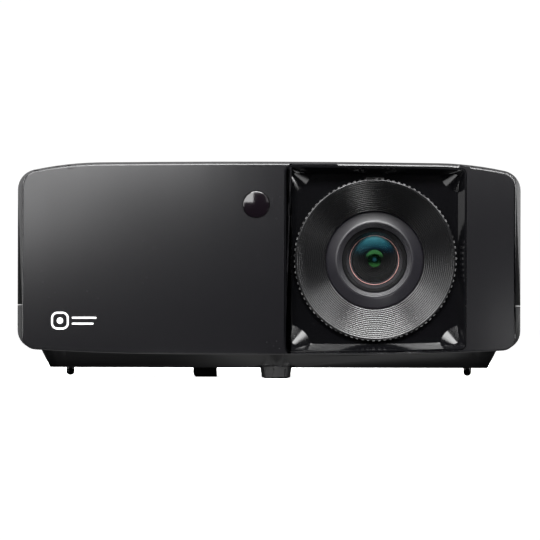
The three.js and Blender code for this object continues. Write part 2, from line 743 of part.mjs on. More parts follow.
// A biconvex lens: front edge and back edge planes, rim radius, and the radius of each curve.
function lens(edgeFront, edgeBack, rim, frontCurve, backCurve) {
  const steps = 3;
  const front = [];
  const back = [];
  for (let i = 0; i <= steps; i++) {
    const r = (rim * i) / steps;
    front.push([r, edgeFront - sag(frontCurve, rim) + sag(frontCurve, r)]);
    back.push([r, edgeBack + sag(backCurve, rim) - sag(backCurve, r)]);
  }
  return turned([...front, ...back.reverse()]);
}

piece("front_lens", lens(glassSeat - 3.9, glassSeat - GAP, GLASS_RADIUS, 46, 180), GLASS, optics);
const retainer = turned([
  [GLASS_RADIUS + 0.8, glassSeat - 4.2],
  [GLASS_CLEAR_RADIUS + 0.6, glassSeat - 4.2],
  [GLASS_CLEAR_RADIUS, glassSeat - 4.8],
  [GLASS_CLEAR_RADIUS, glassSeat - 6],
  [GLASS_RADIUS + 0.8, glassSeat - 6],
]);
piece("lens_retainer", retainer, RING_BLACK, optics);
const irisFront = glassSeat + 3;
const aperture = turned([
  [innerBore - GAP, irisFront],
  [innerBore - GAP, irisFront + 3.7],
  [4.2, irisFront + 3.7],
  [4.2, irisFront + 2.9],
  [9, irisFront],
]);
piece("aperture_ring", aperture, SATIN_BLACK, optics);
piece("second_lens", lens(irisFront + 5.4, irisFront + 7.6, innerBore - GAP, 60, 60), GLASS, optics);

const sleeveInner = cellRadius + 0.4;
const sleeveOuter = sleeveInner + SLEEVE_WALL;
const sleeveFront = ringEnd + 2.5;
const lensFlange = cellBack + 6.5;
const tubeRadius = 12.5;
const tubeBack = lensFlange + 28;
const lensBody = turned([
  [sleeveInner, sleeveFront],
  [sleeveOuter, sleeveFront],
  [sleeveOuter, lensFlange],
  [LENS_FLANGE_RADIUS, lensFlange],
  [LENS_FLANGE_RADIUS, lensFlange + 3],
  [tubeRadius, lensFlange + 3],
  [tubeRadius, tubeBack],
  [tubeRadius - 3, tubeBack],
  [tubeRadius - 3, lensFlange],
  [sleeveInner, lensFlange],
]);
piece("lens_body", lensBody, ALUMINIUM, optics);
const rearLensFront = lensFlange + 10;
piece("rear_lens", lens(rearLensFront, rearLensFront + 2.4, tubeRadius - 3.3, 30, 30), GLASS, optics);

// ---------------------------------------------------------------- light engine

const ENGINE_FRONT_Y = FRONT_Y + lensFlange + 3 + GAP;
const ENGINE_BACK_Y = LIGHT_Y + 24;
const ENGINE_Z = [34, 96];
const ENGINE_X = [LENS_X - 28, LENS_X + 28];
const TUNNEL_END_X = -22;

function lightEngine() {
  let made = box(ENGINE_X, [ENGINE_FRONT_Y, ENGINE_BACK_Y], ENGINE_Z);
  made = joined(
    made,
    box([TUNNEL_END_X, ENGINE_X[0] + 1], [LIGHT_Y - 14, LIGHT_Y + 14], [48, 76]),
    box([TUNNEL_END_X - 1, TUNNEL_END_X + 4], [LIGHT_Y - 20, LIGHT_Y + 20], [44, 80]),
    box([ENGINE_X[0] + 6, ENGINE_X[1] - 6], [ENGINE_FRONT_Y + 12, ENGINE_BACK_Y - 8], [95, 100]),
  );
  for (const x of [ENGINE_X[0] + 1, ENGINE_X[1] - 9]) {
    for (const y of [ENGINE_FRONT_Y + 3, ENGINE_BACK_Y - 11]) {
      made = joined(made, box([x, x + 8], [y, y + 8], [FLOOR_Z + GAP, ENGINE_Z[0] + 1]));
    }
  }
  const bore = FRONT_Y + tubeBack + 2;
  return cut(
    made,
    rodY(LENS_X, LENS_Z, ENGINE_FRONT_Y - 1, bore, tubeRadius + 0.5, 32),
    rodX(LIGHT_Y, 62, TUNNEL_END_X - 5, 0, 5),
  );
}

piece("light_engine", lightEngine(), ALUMINIUM);

// A heat sink: a base plate with fins that stand on it along +Y.
function heatSink([x0, x1], [y0, y1], [z0, z1], base, fins) {
  let made = box([x0, x1], [y0, y0 + base], [z0, z1]);
  const pitch = (x1 - x0 - 1.6) / (fins - 1);
  for (let i = 0; i < fins; i++) {
    const x = x0 + i * pitch;
    made = joined(made, box([x, x + 1.6], [y0 + base - 1, y1], [z0, z1]));
  }
  return made;
}

const dmdY = [ENGINE_BACK_Y + GAP, ENGINE_BACK_Y + 18];
piece("dmd_heatsink", heatSink([LENS_X - 22, LENS_X + 22], dmdY, [42, 88], 4, 9), ALUMINIUM);

const LASER_X = [-80, -50];
piece("laser_module", box(LASER_X, [LIGHT_Y - 22, LIGHT_Y + 14], [36, 84]), BRASS);
const laserSinkY = [LIGHT_Y - 26, LIGHT_Y + 18];
const laserSink = heatSink([-112, LASER_X[0] - GAP], laserSinkY, [14, 100], 4, 8);
piece("laser_heatsink", laserSink, ALUMINIUM);

const WHEEL = { y: LIGHT_Y, z: 62, radius: 25, x: -41 };
const wheel = joined(
  rodX(0, 0, 0, 1.4, WHEEL.radius, 36),
  rodX(0, 0, 1, 4, 8),
  rodX(0, 0, 3, 12, 2, 16),
);
piece("phosphor_wheel", wheel, PHOSPHOR, placed(WHEEL.x, WHEEL.y, WHEEL.z));
const motorFace = 4 + GAP;
const motor = cut(
  joined(rodX(0, 0, motorFace, 13.5, 11, 24), box([10, 13.5], [-13, 13], [-13, 13])),
  rodX(0, 0, 0, 12.5, 2 + GAP, 16),
);
piece("wheel_motor", motor, STEEL, placed(WHEEL.x, WHEEL.y, WHEEL.z));

// ---------------------------------------------------------------- fans, blowing along X

function fanFrame() {
  const half = FAN_SIZE / 2;
  const outline = roundedRectangle(0, 0, FAN_SIZE, FAN_SIZE, 5);
  const frame = slabX(outline, 0, FAN_DEPTH, [circle(0, 0, half - 2, 40)]);
  let spider = rodX(0, 0, FAN_DEPTH - 2, FAN_DEPTH, 13, 24);
  for (let i = 0; i < 4; i++) {
    const angle = (Math.PI / 2) * i + Math.PI / 4;
    const strut = new THREE.BoxGeometry(2, half - 4, 3);
    strut.translate(FAN_DEPTH - 1, (half - 4) / 2 + 6, 0).rotateX(angle);
    spider = joined(spider, solid(strut));
  }
  return joined(frame, spider);
}

function fanRotor() {
  const back = FAN_DEPTH - 2 - GAP;
  let made = rodX(0, 0, 1.5, back, 13.5, 24);
  for (let i = 0; i < FAN_BLADES; i++) {
    const blade = new THREE.BoxGeometry(9.5, 19.5, 1.2);
    blade.rotateY(Math.PI / 5.2);
    blade.translate(back / 2 + 0.7, 21.2, 0).rotateX((2 * Math.PI * i) / FAN_BLADES);
    made = joined(made, solid(blade));
  }
  return made;
}

const fanInset = INNER_X - 3 - FAN_DEPTH;
const fanPlaces = [
  ["exhaust", -1, LIGHT_Y],
  ["intake", 1, LIGHT_Y + 24],
];
for (const [name, side, y] of fanPlaces) {
  const group = placed(side * fanInset, y, 62);
  if (side < 0) group.rotation.z = Math.PI;
  piece(`${name}_fan_frame`, fanFrame(), PORT_BLACK, group);
  piece(`${name}_fan_rotor`, fanRotor(), PORT_BLACK, group);
}

// ---------------------------------------------------------------- side grilles

function sideGrille() {
  const [y0, y1] = [VENT_Y[0] + GAP, VENT_Y[1] - GAP];
  const [z0, z1] = [VENT_Z[0] + GAP, VENT_Z[1] - GAP];
  const rim = 2;
  const outline = roundedRectangle((y0 + y1) / 2, (z0 + z1) / 2, y1 - y0, z1 - z0, 1, 1);
  const hole = roundedRectangle(
    (y0 + y1) / 2,
    (z0 + z1) / 2,
    y1 - y0 - 2 * rim,
    z1 - z0 - 2 * rim,
    1,
    1,
  );
  let made = slabX(outline, 0.5, 4, [hole]);
  const pitch = (z1 - z0 - 2 * rim + SLAT_HEIGHT) / (VENT_SLATS + 1);
  for (let i = 1; i <= VENT_SLATS; i++) {
    const z = z0 + rim - SLAT_HEIGHT / 2 + i * pitch;
    const slat = [
      [0.8, z + SLAT_HEIGHT / 2 - 1.2],
      [2.4, z + SLAT_HEIGHT / 2],
      [2.4, z - SLAT_HEIGHT / 2 + 1.2],
      [0.8, z - SLAT_HEIGHT / 2],
    ].map(([x, height]) => new THREE.Vector2(x, height));
    made = joined(made, slabY(slat.reverse(), y0 + 1, y1 - 1));
  }
  for (const y of [-20.5, 20.5]) {
    made = joined(made, box([2.2, 3.4], [y - 0.8, y + 0.8], [z0 + 1, z1 - 1]));
  }
  return made;
}

// Each grille's outer face is 0.5 mm inside the case's side.
const rightGrille = placed(HALF - 4, 0, 0);
piece("right_grille", sideGrille(), SATIN_BLACK, rightGrille).position.x = -0.5;
const leftGrille = placed(4 - HALF, 0, 0);
leftGrille.rotation.z = Math.PI;
piece("left_grille", sideGrille(), SATIN_BLACK, leftGrille).position.x = -0.5;

// ---------------------------------------------------------------- rear panel and its sockets

const PANEL_BACK_Y = INNER_REAR_Y - GAP; // outer face of the rear panel
const PANEL_FRONT_Y = PANEL_BACK_Y - REAR_PANEL_THICK;
const SOCKET_FACE_Y = PANEL_BACK_Y + 0.3;
const SOCKET_Z = BOARD_Z + 1.6 + GAP; // lower side of the sockets that stand on the main board

// Each socket: centre x, lower z, outer size, and the size of its mouth.
const sockets = {
  hdmi_port_1: { x: 70, z: SOCKET_Z, outer: [15.8, 6.9], mouth: [14.2, 5.1], depth: 12 },
  hdmi_port_2: { x: 46, z: SOCKET_Z, outer: [15.8, 6.9], mouth: [14.2, 5.1], depth: 12 },
  usb_port: { x: 22, z: SOCKET_Z, outer: [14.4, 7.4], mouth: [12.6, 5.4], depth: 14 },
};
const JACK = { x: 2, z: SOCKET_Z + 4.5, radius: 4 };
const SERIAL = { x: -24, z: SOCKET_Z + 6.3, width: 31, height: 12.4 };
const INLET = { x: -78, z: 46, width: 28, height: 21, depth: 18 };

function rearPanel() {
  const [z0, z1] = [WINDOW_Z[0] - 2.5, WINDOW_Z[1] + 2.5];
  const outline = roundedRectangle(0, (z0 + z1) / 2, 2 * WINDOW_X + 5, z1 - z0, 3);
  let made = slabY(outline, PANEL_FRONT_Y, PANEL_BACK_Y);
  const through = [PANEL_FRONT_Y - 1, PANEL_BACK_Y + 1];
  for (const { x, z, outer } of Object.values(sockets)) {
    const span = [x - outer[0] / 2 - GAP, x + outer[0] / 2 + GAP];
    made = cut(made, box(span, through, [z - GAP, z + outer[1] + GAP]));
  }
  made = cut(made, rodY(JACK.x, JACK.z, ...through, JACK.radius + GAP));
  for (const { x, z, width, height } of [SERIAL, INLET]) {
    const hole = [
      [x - width / 2 - GAP, x + width / 2 + GAP],
      [z - height / 2 - GAP, z + height / 2 + GAP],
    ];
    made = cut(made, box(hole[0], through, hole[1]));
  }
  for (let i = 0; i < REAR_SLOTS; i++) {
    const x = (i - (REAR_SLOTS - 1) / 2) * 6.4 + 20;
    made = cut(made, box([x - 1.6, x + 1.6], through, [58, 82]));
  }
  const lockSlot = box([93.5, 96.5], through, [44, 51]);
  return cut(made, lockSlot);
}

piece("rear_panel", rearPanel(), SATIN_BLACK);

for (const [name, { outer, mouth, depth, x, z }] of Object.entries(sockets)) {
  const shell = box([-outer[0] / 2, outer[0] / 2], [-depth, 0], [0, outer[1]]);
  const rise = (outer[1] - mouth[1]) / 2;
  const hollow = box([-mouth[0] / 2, mouth[0] / 2], [2 - depth, 1], [rise, rise + mouth[1]]);
  piece(name, cut(shell, hollow), STEEL, placed(x, SOCKET_FACE_Y, z));
}

const jack = cut(
  joined(rodY(0, 0, -4, 0, JACK.radius), box([-5.5, 5.5], [-15, -3], [-4.4, 5])),
  rodY(0, 0, -12, 1, 1.8, 16),
);
piece("audio_jack", jack, PORT_BLACK, placed(JACK.x, SOCKET_FACE_Y, JACK.z));

// The D-shaped shell stands proud of its flange.
const shellOutline = [
  [-9, 4.2],
  [-7.8, -4.2],
  [7.8, -4.2],
  [9, 4.2],
].map(([x, z]) => new THREE.Vector2(x, z));
const serial = cut(
  joined(
    box([-15.5, 15.5], [-12, 0], [-6.2, 6.2]),
    slabY(shellOutline, -1, 2.2),
  ),
  rodY(-12.5, 0, -2, 1, 1.3, 12),
  rodY(12.5, 0, -2, 1, 1.3, 12),
);
piece("serial_port", serial, STEEL, placed(SERIAL.x, SOCKET_FACE_Y - 0.3, SERIAL.z));

function mainsInlet() {
  const { width, height, depth } = INLET;
  const shell = box([-width / 2, width / 2], [-depth, 0], [-height / 2, height / 2]);
  const [w, h, corner] = [width / 2 - 1.8, height / 2 - 2.2, 4.5];
  const mouth = [
    [-w, -h],
    [w, -h],
    [w, h - corner],
    [w - corner, h],
    [corner - w, h],
    [-w, h - corner],
  ].map(([x, z]) => new THREE.Vector2(x, z));
  let made = cut(shell, slabY(mouth, 3 - depth, 1));
  for (const [x, z] of [[-7, -2], [0, 2], [7, -2]]) {
    made = joined(made, box([x - 1, x + 1], [2 - depth, -6], [z - 2, z + 2]));
  }
  return made;
}

piece("mains_inlet", mainsInlet(), PORT_BLACK, placed(INLET.x, SOCKET_FACE_Y, INLET.z));

// ---------------------------------------------------------------- boards and speaker

function mainBoard() {
  const [z0, z1] = [BOARD_Z, BOARD_Z + 1.6];
  let made = box([-44, 88], [REAR_Y - 63.5, SOCKET_FACE_Y - 4], [z0, z1]);
  const parts = [
    [[20, 38], [52, 34], 2.2],
    [[-14, -2], [54, 42], 1.8],
    [[50, 62], [56, 48], 1.8],
    [[-38, -14], [36, 32], 5],
    [[64, 74], [42, 32], 6],
  ];
  for (const [x, behind, height] of parts) {
    const y = behind.map((distance) => REAR_Y - distance);
    made = joined(made, box(x, y, [z1 - 0.5, z1 + height]));
  }
  return made;
}

piece("main_board", mainBoard(), BOARD_GREEN);

function powerSupply() {
  const [z0, z1] = [FLOOR_Z + 7, FLOOR_Z + 8.6];
  const y0 = REAR_Y - 84;
  let made = box([-100, -50], [y0, y0 + 56], [z0, z1]);
  const parts = [
    [[-92, -70], [6, 28], 26],
    [[-66, -54], [4, 24], 18],
    [[-96, -78], [34, 50], 14],
    [[-72, -56], [30, 34], 30],
  ];
  for (const [x, [near, far], height] of parts) {
    made = joined(made, box(x, [y0 + near, y0 + far], [z1 - 0.5, z1 + height]));
  }
  for (const x of [-70, -60]) {
    made = joined(made, rodZ(x, y0 + 44, z1 - 0.5, z1 + 22, 4.4));
  }
  for (const [x, y] of [[-97, 3], [-53, 3], [-97, 53], [-53, 53]]) {
    made = joined(made, rodZ(x, y0 + y, FLOOR_Z + GAP, z0 + 0.5, 2.5, 2.5, 12));
  }
  return made;
}

piece("power_supply_board", powerSupply(), BOARD_GREEN);

function speaker() {
  const basket = turned(
    [
      [0, 1],
      [4, 3],
      [19, 12],
      [22, 12],
      [22, 9.5],
      [12, 2],
      [12, -8],
      [0, -8],
    ],
    24,
  );
  const feet = box([-22, 22], [9.5, 12], [-25, -16]);
  return joined(basket, feet);
}

const speakerGroup = placed(-70, FRONT_Y + 30, FLOOR_Z + GAP + 25);
speakerGroup.rotation.z = Math.PI;
piece("speaker", speaker(), PORT_BLACK, speakerGroup);

// ---------------------------------------------------------------- keypad

const PLATE_THICK = 3.7;
const PLATE_BACK_Z = KEY_TOP_Z - PLATE_THICK;
const KEY_FLANGE_TOP_Z = TOP_Z - WALL - topDrop(KEY_X - KEY_SIZE[0] / 2 - 2) - GAP;
const BUTTON_TOP_Z = KEY_TOP_Z + 1;
const BUTTON_TRAVEL = 0.8;
const BUTTON_FLANGE_TOP_Z = PLATE_BACK_Z - 0.6 - GAP;
const KEY_BOARD_TOP_Z = BUTTON_FLANGE_TOP_Z - 1.5 - BUTTON_TRAVEL - 0.6;

const buttons = {
  power_button: [-34, 0, 6.2],
  up_button: [0, ARROW_SPACING, BUTTON_RADIUS],
  down_button: [0, -ARROW_SPACING, BUTTON_RADIUS],
  left_button: [-ARROW_SPACING, 0, BUTTON_RADIUS],
  right_button: [ARROW_SPACING, 0, BUTTON_RADIUS],
  enter_button: [0, 0, 5.2],
  menu_button: [32, 10, BUTTON_RADIUS],
  source_button: [32, -10, BUTTON_RADIUS],
};
const LIGHT_PIPE = { x: -34, y: 17, width: 16, height: 3 };

function keypadPlate() {
  const [w, h] = KEY_SIZE.map((size) => size - 2 * GAP);
  const face = roundedRectangle(KEY_X, KEY_Y, w, h, KEY_CORNER - GAP);
  const flange = roundedRectangle(KEY_X, KEY_Y, w + 3.6, h + 3.6, KEY_CORNER + 1.5);
  let made = joined(
    slabZ(face, PLATE_BACK_Z, KEY_TOP_Z),
    slabZ(flange, PLATE_BACK_Z - 0.6, KEY_FLANGE_TOP_Z),
  );
  for (const [x, y, radius] of Object.values(buttons)) {
    made = cut(made, rodZ(KEY_X + x, KEY_Y + y, 100, TOP_Z, radius + GAP, undefined, 20));
  }
  const { x, y, width, height } = LIGHT_PIPE;
  const slot = roundedRectangle(KEY_X + x, KEY_Y + y, width + 0.6, height + 0.6, 1.6, 4);
  return cut(made, slabZ(slot, 100, TOP_Z));
}

piece("keypad_plate", keypadPlate(), SATIN_BLACK);

const keypad = placed(KEY_X, KEY_Y, 0);
for (const [name, [x, y, radius]] of Object.entries(buttons)) {
  const cap = joined(
    rodZ(0, 0, BUTTON_FLANGE_TOP_Z - 0.5, BUTTON_TOP_Z, radius, radius, 20),
    rodZ(0, 0, BUTTON_FLANGE_TOP_Z - 1.5, BUTTON_FLANGE_TOP_Z, radius + 1, radius + 1, 20),
  );
  piece(name, cap, BUTTON_GREY, placed(x, y, 0, keypad));
}
const pipe = roundedRectangle(0, 0, LIGHT_PIPE.width, LIGHT_PIPE.height, 1.3, 4);
piece(
  "status_light_pipe",
  slabZ(pipe, PLATE_BACK_Z - 2, KEY_TOP_Z + 0.3),
  GLASS,
  placed(LIGHT_PIPE.x, LIGHT_PIPE.y, 0, keypad),
);
const boardSize = [KEY_SIZE[0] - 8, KEY_SIZE[1] - 8];
const keyBoard = roundedRectangle(0, 0, ...boardSize, 3, 3);
piece("keypad_board", slabZ(keyBoard, KEY_BOARD_TOP_Z - 1.6, KEY_BOARD_TOP_Z), BOARD_GREEN, keypad);

// A flat ribbon: under the keypad board, back past its edge, down to the main board and along it.
const ribbonTop = KEY_BOARD_TOP_Z - 1.6 - GAP;
const ribbonThick = 0.6;
const ribbonBackY = KEY_Y + boardSize[1] / 2 + 9;
const ribbonFootZ = BOARD_Z + 1.6 + GAP;
const ribbon = [
  [KEY_Y + 8, ribbonTop],
  [KEY_Y + 8, ribbonTop - ribbonThick],
  [ribbonBackY - ribbonThick - 3, ribbonTop - ribbonThick],
  [ribbonBackY - ribbonThick, ribbonTop - ribbonThick - 3],
  [ribbonBackY - ribbonThick, ribbonFootZ + ribbonThick + 2],
  [ribbonBackY - ribbonThick - 2, ribbonFootZ + ribbonThick],
  [ribbonBackY - 13, ribbonFootZ + ribbonThick],
  [ribbonBackY - 13, ribbonFootZ],
  [ribbonBackY - 1.7, ribbonFootZ],
  [ribbonBackY, ribbonFootZ + 1.7],
  [ribbonBackY, ribbonTop - 3],
  [ribbonBackY - 3, ribbonTop],
].map(([y, z]) => new THREE.Vector2(y, z));
piece("keypad_ribbon", slabX(ribbon, -34, -22), RIBBON_GREY);

// ---------------------------------------------------------------- feet

const foot = placed(FOOT_X, FOOT_Y, 0);

function footKnob() {
  let made = joined(
    rodZ(0, 0, 1, KNOB_TOP_Z, KNOB_BOTTOM_RADIUS, KNOB_TOP_RADIUS, 32),
    rodZ(0, 0, 0.4, 1, KNOB_BOTTOM_RADIUS - 0.5, KNOB_BOTTOM_RADIUS, 32),
  );
  for (let i = 0; i < KNOB_GROOVES; i++) {
    const groove = new THREE.BoxGeometry(2, 0.8, KNOB_TOP_Z);
    groove.translate(KNOB_BOTTOM_RADIUS + 0.55, 0, KNOB_TOP_Z / 2 - 1.2);
    groove.rotateZ(((i + 0.34) * 2 * Math.PI) / KNOB_GROOVES);
    made = cut(made, solid(groove));
  }
  return cut(
    made,
    rodZ(0, 0, -1, 1.9, PAD_RADIUS + GAP, undefined, 24),
    rodZ(0, 0, 3, KNOB_TOP_Z + 1, STUD_RADIUS + GAP),
  );
}

piece("foot_knob", footKnob(), RUBBER, foot);
piece("foot_stud", rodZ(0, 0, 3 + GAP, STUD_TOP_Z, STUD_RADIUS), STEEL, foot);
piece("foot_pad", rodZ(0, 0, 0, 1.6, PAD_RADIUS, undefined, 24), RUBBER, foot);
const washer = cut(
  joined(
    rodZ(0, 0, WASHER_Z, WASHER_Z + 1.5, 6),
    box([-TAB_HALF, TAB_HALF], [4, 10.5], [WASHER_Z, WASHER_Z + 1.5]),
  ),
  rodZ(0, 0, WASHER_Z - 1, WASHER_Z + 3, STUD_RADIUS + GAP),
);
piece("foot_stop_washer", washer, STEEL, foot);
const insertZ = [BOSS_TOP_Z - 6 + GAP, BOSS_TOP_Z];
const insert = cut(
  rodZ(0, 0, ...insertZ, INSERT_RADIUS),
  rodZ(0, 0, 0, SPLIT_Z, STUD_RADIUS + GAP),
);
piece("foot_insert", insert, BRASS, foot);

// A slim post with a domed tip and a thinner stem that plugs into the base.
function rearFoot() {
  const profile = [[0, 0]];
  for (let i = 1; i <= 4; i++) {
    const angle = (Math.PI / 2) * (i / 4);
    profile.push([PIN_RADIUS * Math.sin(angle), 2 * (1 - Math.cos(angle))]);
  }
  const shoulder = BASE_Z - GAP;
  profile.push([PIN_RADIUS, shoulder], [PIN_RADIUS - 0.7, shoulder]);
  profile.push([PIN_RADIUS - 0.7, FLOOR_Z + 4], [0, FLOOR_Z + 4]);
  const points = profile.map(([r, y]) => new THREE.Vector2(r, y));
  return solid(new THREE.LatheGeometry(points, 16).rotateX(Math.PI / 2));
}

piece("rear_foot_left", rearFoot(), DEEP_BLACK, placed(-PIN_X, PIN_Y, 0));
piece("rear_foot_right", rearFoot(), DEEP_BLACK, placed(PIN_X, PIN_Y, 0));

function stubFoot() {
  const [x0, x1] = STUB_X;
  const top = BASE_Z - GAP;
  const outline = [
    [x0, top],
    [x0, STUB_BOTTOM_Z + 2.2],
    [x0 + 0.5, STUB_BOTTOM_Z + 1],
    [x0 + 1.4, STUB_BOTTOM_Z],
    [x1, STUB_BOTTOM_Z],
    [x1, top],
  ].map(([x, z]) => new THREE.Vector2(x, z));
  const plug = rodZ((x0 + x1) / 2, (STUB_Y[0] + STUB_Y[1]) / 2, top - 1, FLOOR_Z, 2, 2, 16);
  return joined(slabY(outline, ...STUB_Y), plug);
}

piece("stub_foot", stubFoot(), RUBBER);

export default projector;
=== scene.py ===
"""A compact home projector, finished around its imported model.

Laid out as a Blender add-on and run as a script: every operator makes one piece or one group of like
pieces, in metres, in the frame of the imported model.
"""

import json
import math

import bpy
from mathutils import Matrix, Vector

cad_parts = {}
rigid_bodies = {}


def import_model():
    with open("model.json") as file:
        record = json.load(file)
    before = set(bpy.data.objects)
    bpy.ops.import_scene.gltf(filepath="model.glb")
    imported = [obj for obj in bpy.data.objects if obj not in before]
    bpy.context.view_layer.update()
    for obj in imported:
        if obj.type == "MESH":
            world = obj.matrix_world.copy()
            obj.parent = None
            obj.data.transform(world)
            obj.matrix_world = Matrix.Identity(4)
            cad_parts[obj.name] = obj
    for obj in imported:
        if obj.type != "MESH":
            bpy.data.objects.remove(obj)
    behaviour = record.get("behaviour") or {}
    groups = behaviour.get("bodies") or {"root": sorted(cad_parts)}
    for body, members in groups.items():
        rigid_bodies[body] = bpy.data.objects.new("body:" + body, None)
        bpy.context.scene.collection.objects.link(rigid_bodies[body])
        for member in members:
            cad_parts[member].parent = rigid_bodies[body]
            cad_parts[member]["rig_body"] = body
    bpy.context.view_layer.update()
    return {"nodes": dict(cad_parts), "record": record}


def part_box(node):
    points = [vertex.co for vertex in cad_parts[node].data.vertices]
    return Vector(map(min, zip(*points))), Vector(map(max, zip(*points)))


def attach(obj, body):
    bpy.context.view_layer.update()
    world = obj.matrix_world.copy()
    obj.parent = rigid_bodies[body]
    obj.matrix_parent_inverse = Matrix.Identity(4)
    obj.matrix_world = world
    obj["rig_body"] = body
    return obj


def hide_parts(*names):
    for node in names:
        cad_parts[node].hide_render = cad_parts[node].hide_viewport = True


bl_info = {
    "name": "Home Projector",
    "version": (1, 0, 0),
    "blender": (4, 5, 0),
    "location": "View3D > Sidebar > Projector",
    "description": "Builds the finished pieces of a compact home projector",
    "category": "Object",
}

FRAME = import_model()
MM = 0.001

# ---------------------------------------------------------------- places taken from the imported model


def middle(node):
    """The middle of a node's box, and its size."""
    low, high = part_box(node)
    return (low + high) / 2, high - low


PANEL_LOW, PANEL_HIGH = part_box("front_panel")
LENS, RING_SIZE = middle("focus_ring")
LENS = Vector((middle("lens_cell")[0].x, PANEL_LOW.y, middle("lens_cell")[0].z))

WINDOW = middle("ir_window")[0]
HOOD_LOW, HOOD_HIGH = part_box("lens_hood")
HOOD_RIM = Vector((1.0 * MM, 0, 1.0 * MM))
HOOD_DEPTH = 12.5 * MM
CONE_TIP = 4.5 * MM
CONE_TIP_RADIUS = 2.6 * MM
CONE_RADIUS = 14.2 * MM
RIDGE_STEPS = 7
HUB_RADIUS = 30.4 * MM
RING_WALL = 1.6 * MM
FRONT_FOOT_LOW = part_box("foot_pad")[0]
MARK_PLACE = (20.6 * MM, 31.3 * MM)


# ---------------------------------------------------------------- shader building


class Value:
    """A number on a node's socket. Python's operators on it add Math nodes."""

    def __init__(self, graph, socket):
        self.graph = graph
        self.socket = socket

    def math(self, operation, *others):
        return self.graph.node("ShaderNodeMath", {"operation": operation}, [self, *others])

    def reflected(self, operation, other):
        return self.graph.node("ShaderNodeMath", {"operation": operation}, [other, self])

    def __add__(self, other):
        return self.math("ADD", other)

    __radd__ = __add__

    def __mul__(self, other):
        return self.math("MULTIPLY", other)

    __rmul__ = __mul__

    def __sub__(self, other):
        return self.math("SUBTRACT", other)

    def __rsub__(self, other):
        return self.reflected("SUBTRACT", other)

    def __truediv__(self, other):
        return self.math("DIVIDE", other)

    def __rtruediv__(self, other):
        return self.reflected("DIVIDE", other)

    def __pow__(self, other):
        return self.math("POWER", other)

    def sin(self):
        return self.math("SINE")

    def sqrt(self):
        return self.math("SQRT")

    def angle_from(self, other):
        return self.math("ARCTAN2", other)

    def at_most(self, other):
        return self.math("MINIMUM", other)

    def wave(self, pitch):
        """Rises and falls between 0 and 1 once in every pitch."""
        return (self * (2 * math.pi / pitch)).sin() * 0.5 + 0.5

    def ramp(self, low, high):
        """0 below low, 1 above high, and smooth between."""
        node = self.graph.node(
            "ShaderNodeMapRange",
            {"interpolation_type": "SMOOTHSTEP"},
            {"Value": self, "From Min": low, "From Max": high},
        )
        return node


class Graph:
    """The nodes of one material, written as expressions."""

    def __init__(self, tree):
        self.tree = tree

    def raw(self, kind, settings=None, inputs=None):
        """Adds a node: its settings first, then its sockets' values or links. Returns the node."""
        node = self.tree.nodes.new(kind)
        for name, value in (settings or {}).items():
            if name == "stops":
                self.set_stops(node.color_ramp, value)
            else:
                setattr(node, name, value)
        pairs = inputs.items() if isinstance(inputs, dict) else enumerate(inputs or [])
        for name, value in pairs:
            self.feed(node.inputs[name], value)
        return node

    def node(self, kind, settings=None, inputs=None, output=0):
        """As raw, but returns one of its outputs as a Value."""
        return Value(self, self.raw(kind, settings, inputs).outputs[output])

    def feed(self, socket, value):
        if isinstance(value, Value):
            self.tree.links.new(value.socket, socket)
        elif socket.type == "RGBA" and len(value) == 3:
            socket.default_value = (*value, 1.0)
        else:
            socket.default_value = value

    @staticmethod
    def set_stops(ramp, stops):
        while len(ramp.elements) < len(stops):
            ramp.elements.new(0.5)
        for element, (place, colour) in zip(ramp.elements, stops):
            element.position = place
            element.color = (*colour, 1.0)

    def place(self):
        return self.node("ShaderNodeTexCoord", output=3)

    def xyz(self, vector):
        parts = self.raw("ShaderNodeSeparateXYZ", None, [vector])
        return [Value(self, parts.outputs[i]) for i in range(3)]

    def stretched(self, vector, scale, shift=(0, 0, 0), turn=(0, 0, 0)):
        inputs = {"Vector": vector, "Location": shift, "Rotation": turn, "Scale": scale}
        return self.node("ShaderNodeMapping", None, inputs)

    def noise(self, vector, scale, detail=2.0, roughness=0.5):
        inputs = {"Vector": vector, "Scale": scale, "Detail": detail, "Roughness": roughness}
        return self.node("ShaderNodeTexNoise", None, inputs)

    def cells(self, vector, scale, feature="F1", output=0):
        inputs = {"Vector": vector, "Scale": scale}
        return self.node("ShaderNodeTexVoronoi", {"feature": feature}, inputs, output)

    def blend(self, factor, first, second):
        """A colour between two colours."""
        node = self.raw("ShaderNodeMix", {"data_type": "RGBA"}, {0: factor, 6: first, 7: second})
        return Value(self, node.outputs[2])

    def bump(self, height, distance, strength=1.0, normal=None):
        inputs = {"Height": height, "Distance": distance, "Strength": strength}
        if normal is not None:
            inputs["Normal"] = normal
        return self.node("ShaderNodeBump", None, inputs)


MATERIALS = {}


def material(name, build, **fixed):
    """A material from a function that returns what varies; what is the same all over is set directly."""
    if name in MATERIALS:
        return MATERIALS[name]
    made = bpy.data.materials.new(name)
    made.use_nodes = True
    surface = made.node_tree.nodes["Principled BSDF"]
    graph = Graph(made.node_tree)
    for socket, value in {**fixed, **build(graph)}.items():
        graph.feed(surface.inputs[socket.replace("_", " ")], value)
    MATERIALS[name] = made
    return made


# ---------------------------------------------------------------- materials


def moulded(colour, roughness, grain, depth, spread=0.05, speckle=0.25):
    """Moulded plastic: a fine spark-eroded grain, faint flow marks and a slightly uneven sheen."""

    def build(g):
        at = g.place()
        fine = g.noise(at, grain, 3.0, 0.6)
        broad = g.noise(at, 18.0, 2.0)
        shade = [c * (1 + speckle) for c in colour]
        return {
            "Base Color": g.blend(fine.ramp(0.35, 0.75), colour, shade),
            "Roughness": roughness + (broad - 0.5) * spread + (fine - 0.5) * spread,
            "Normal": g.bump(fine, depth, 0.6),
        }

    return build


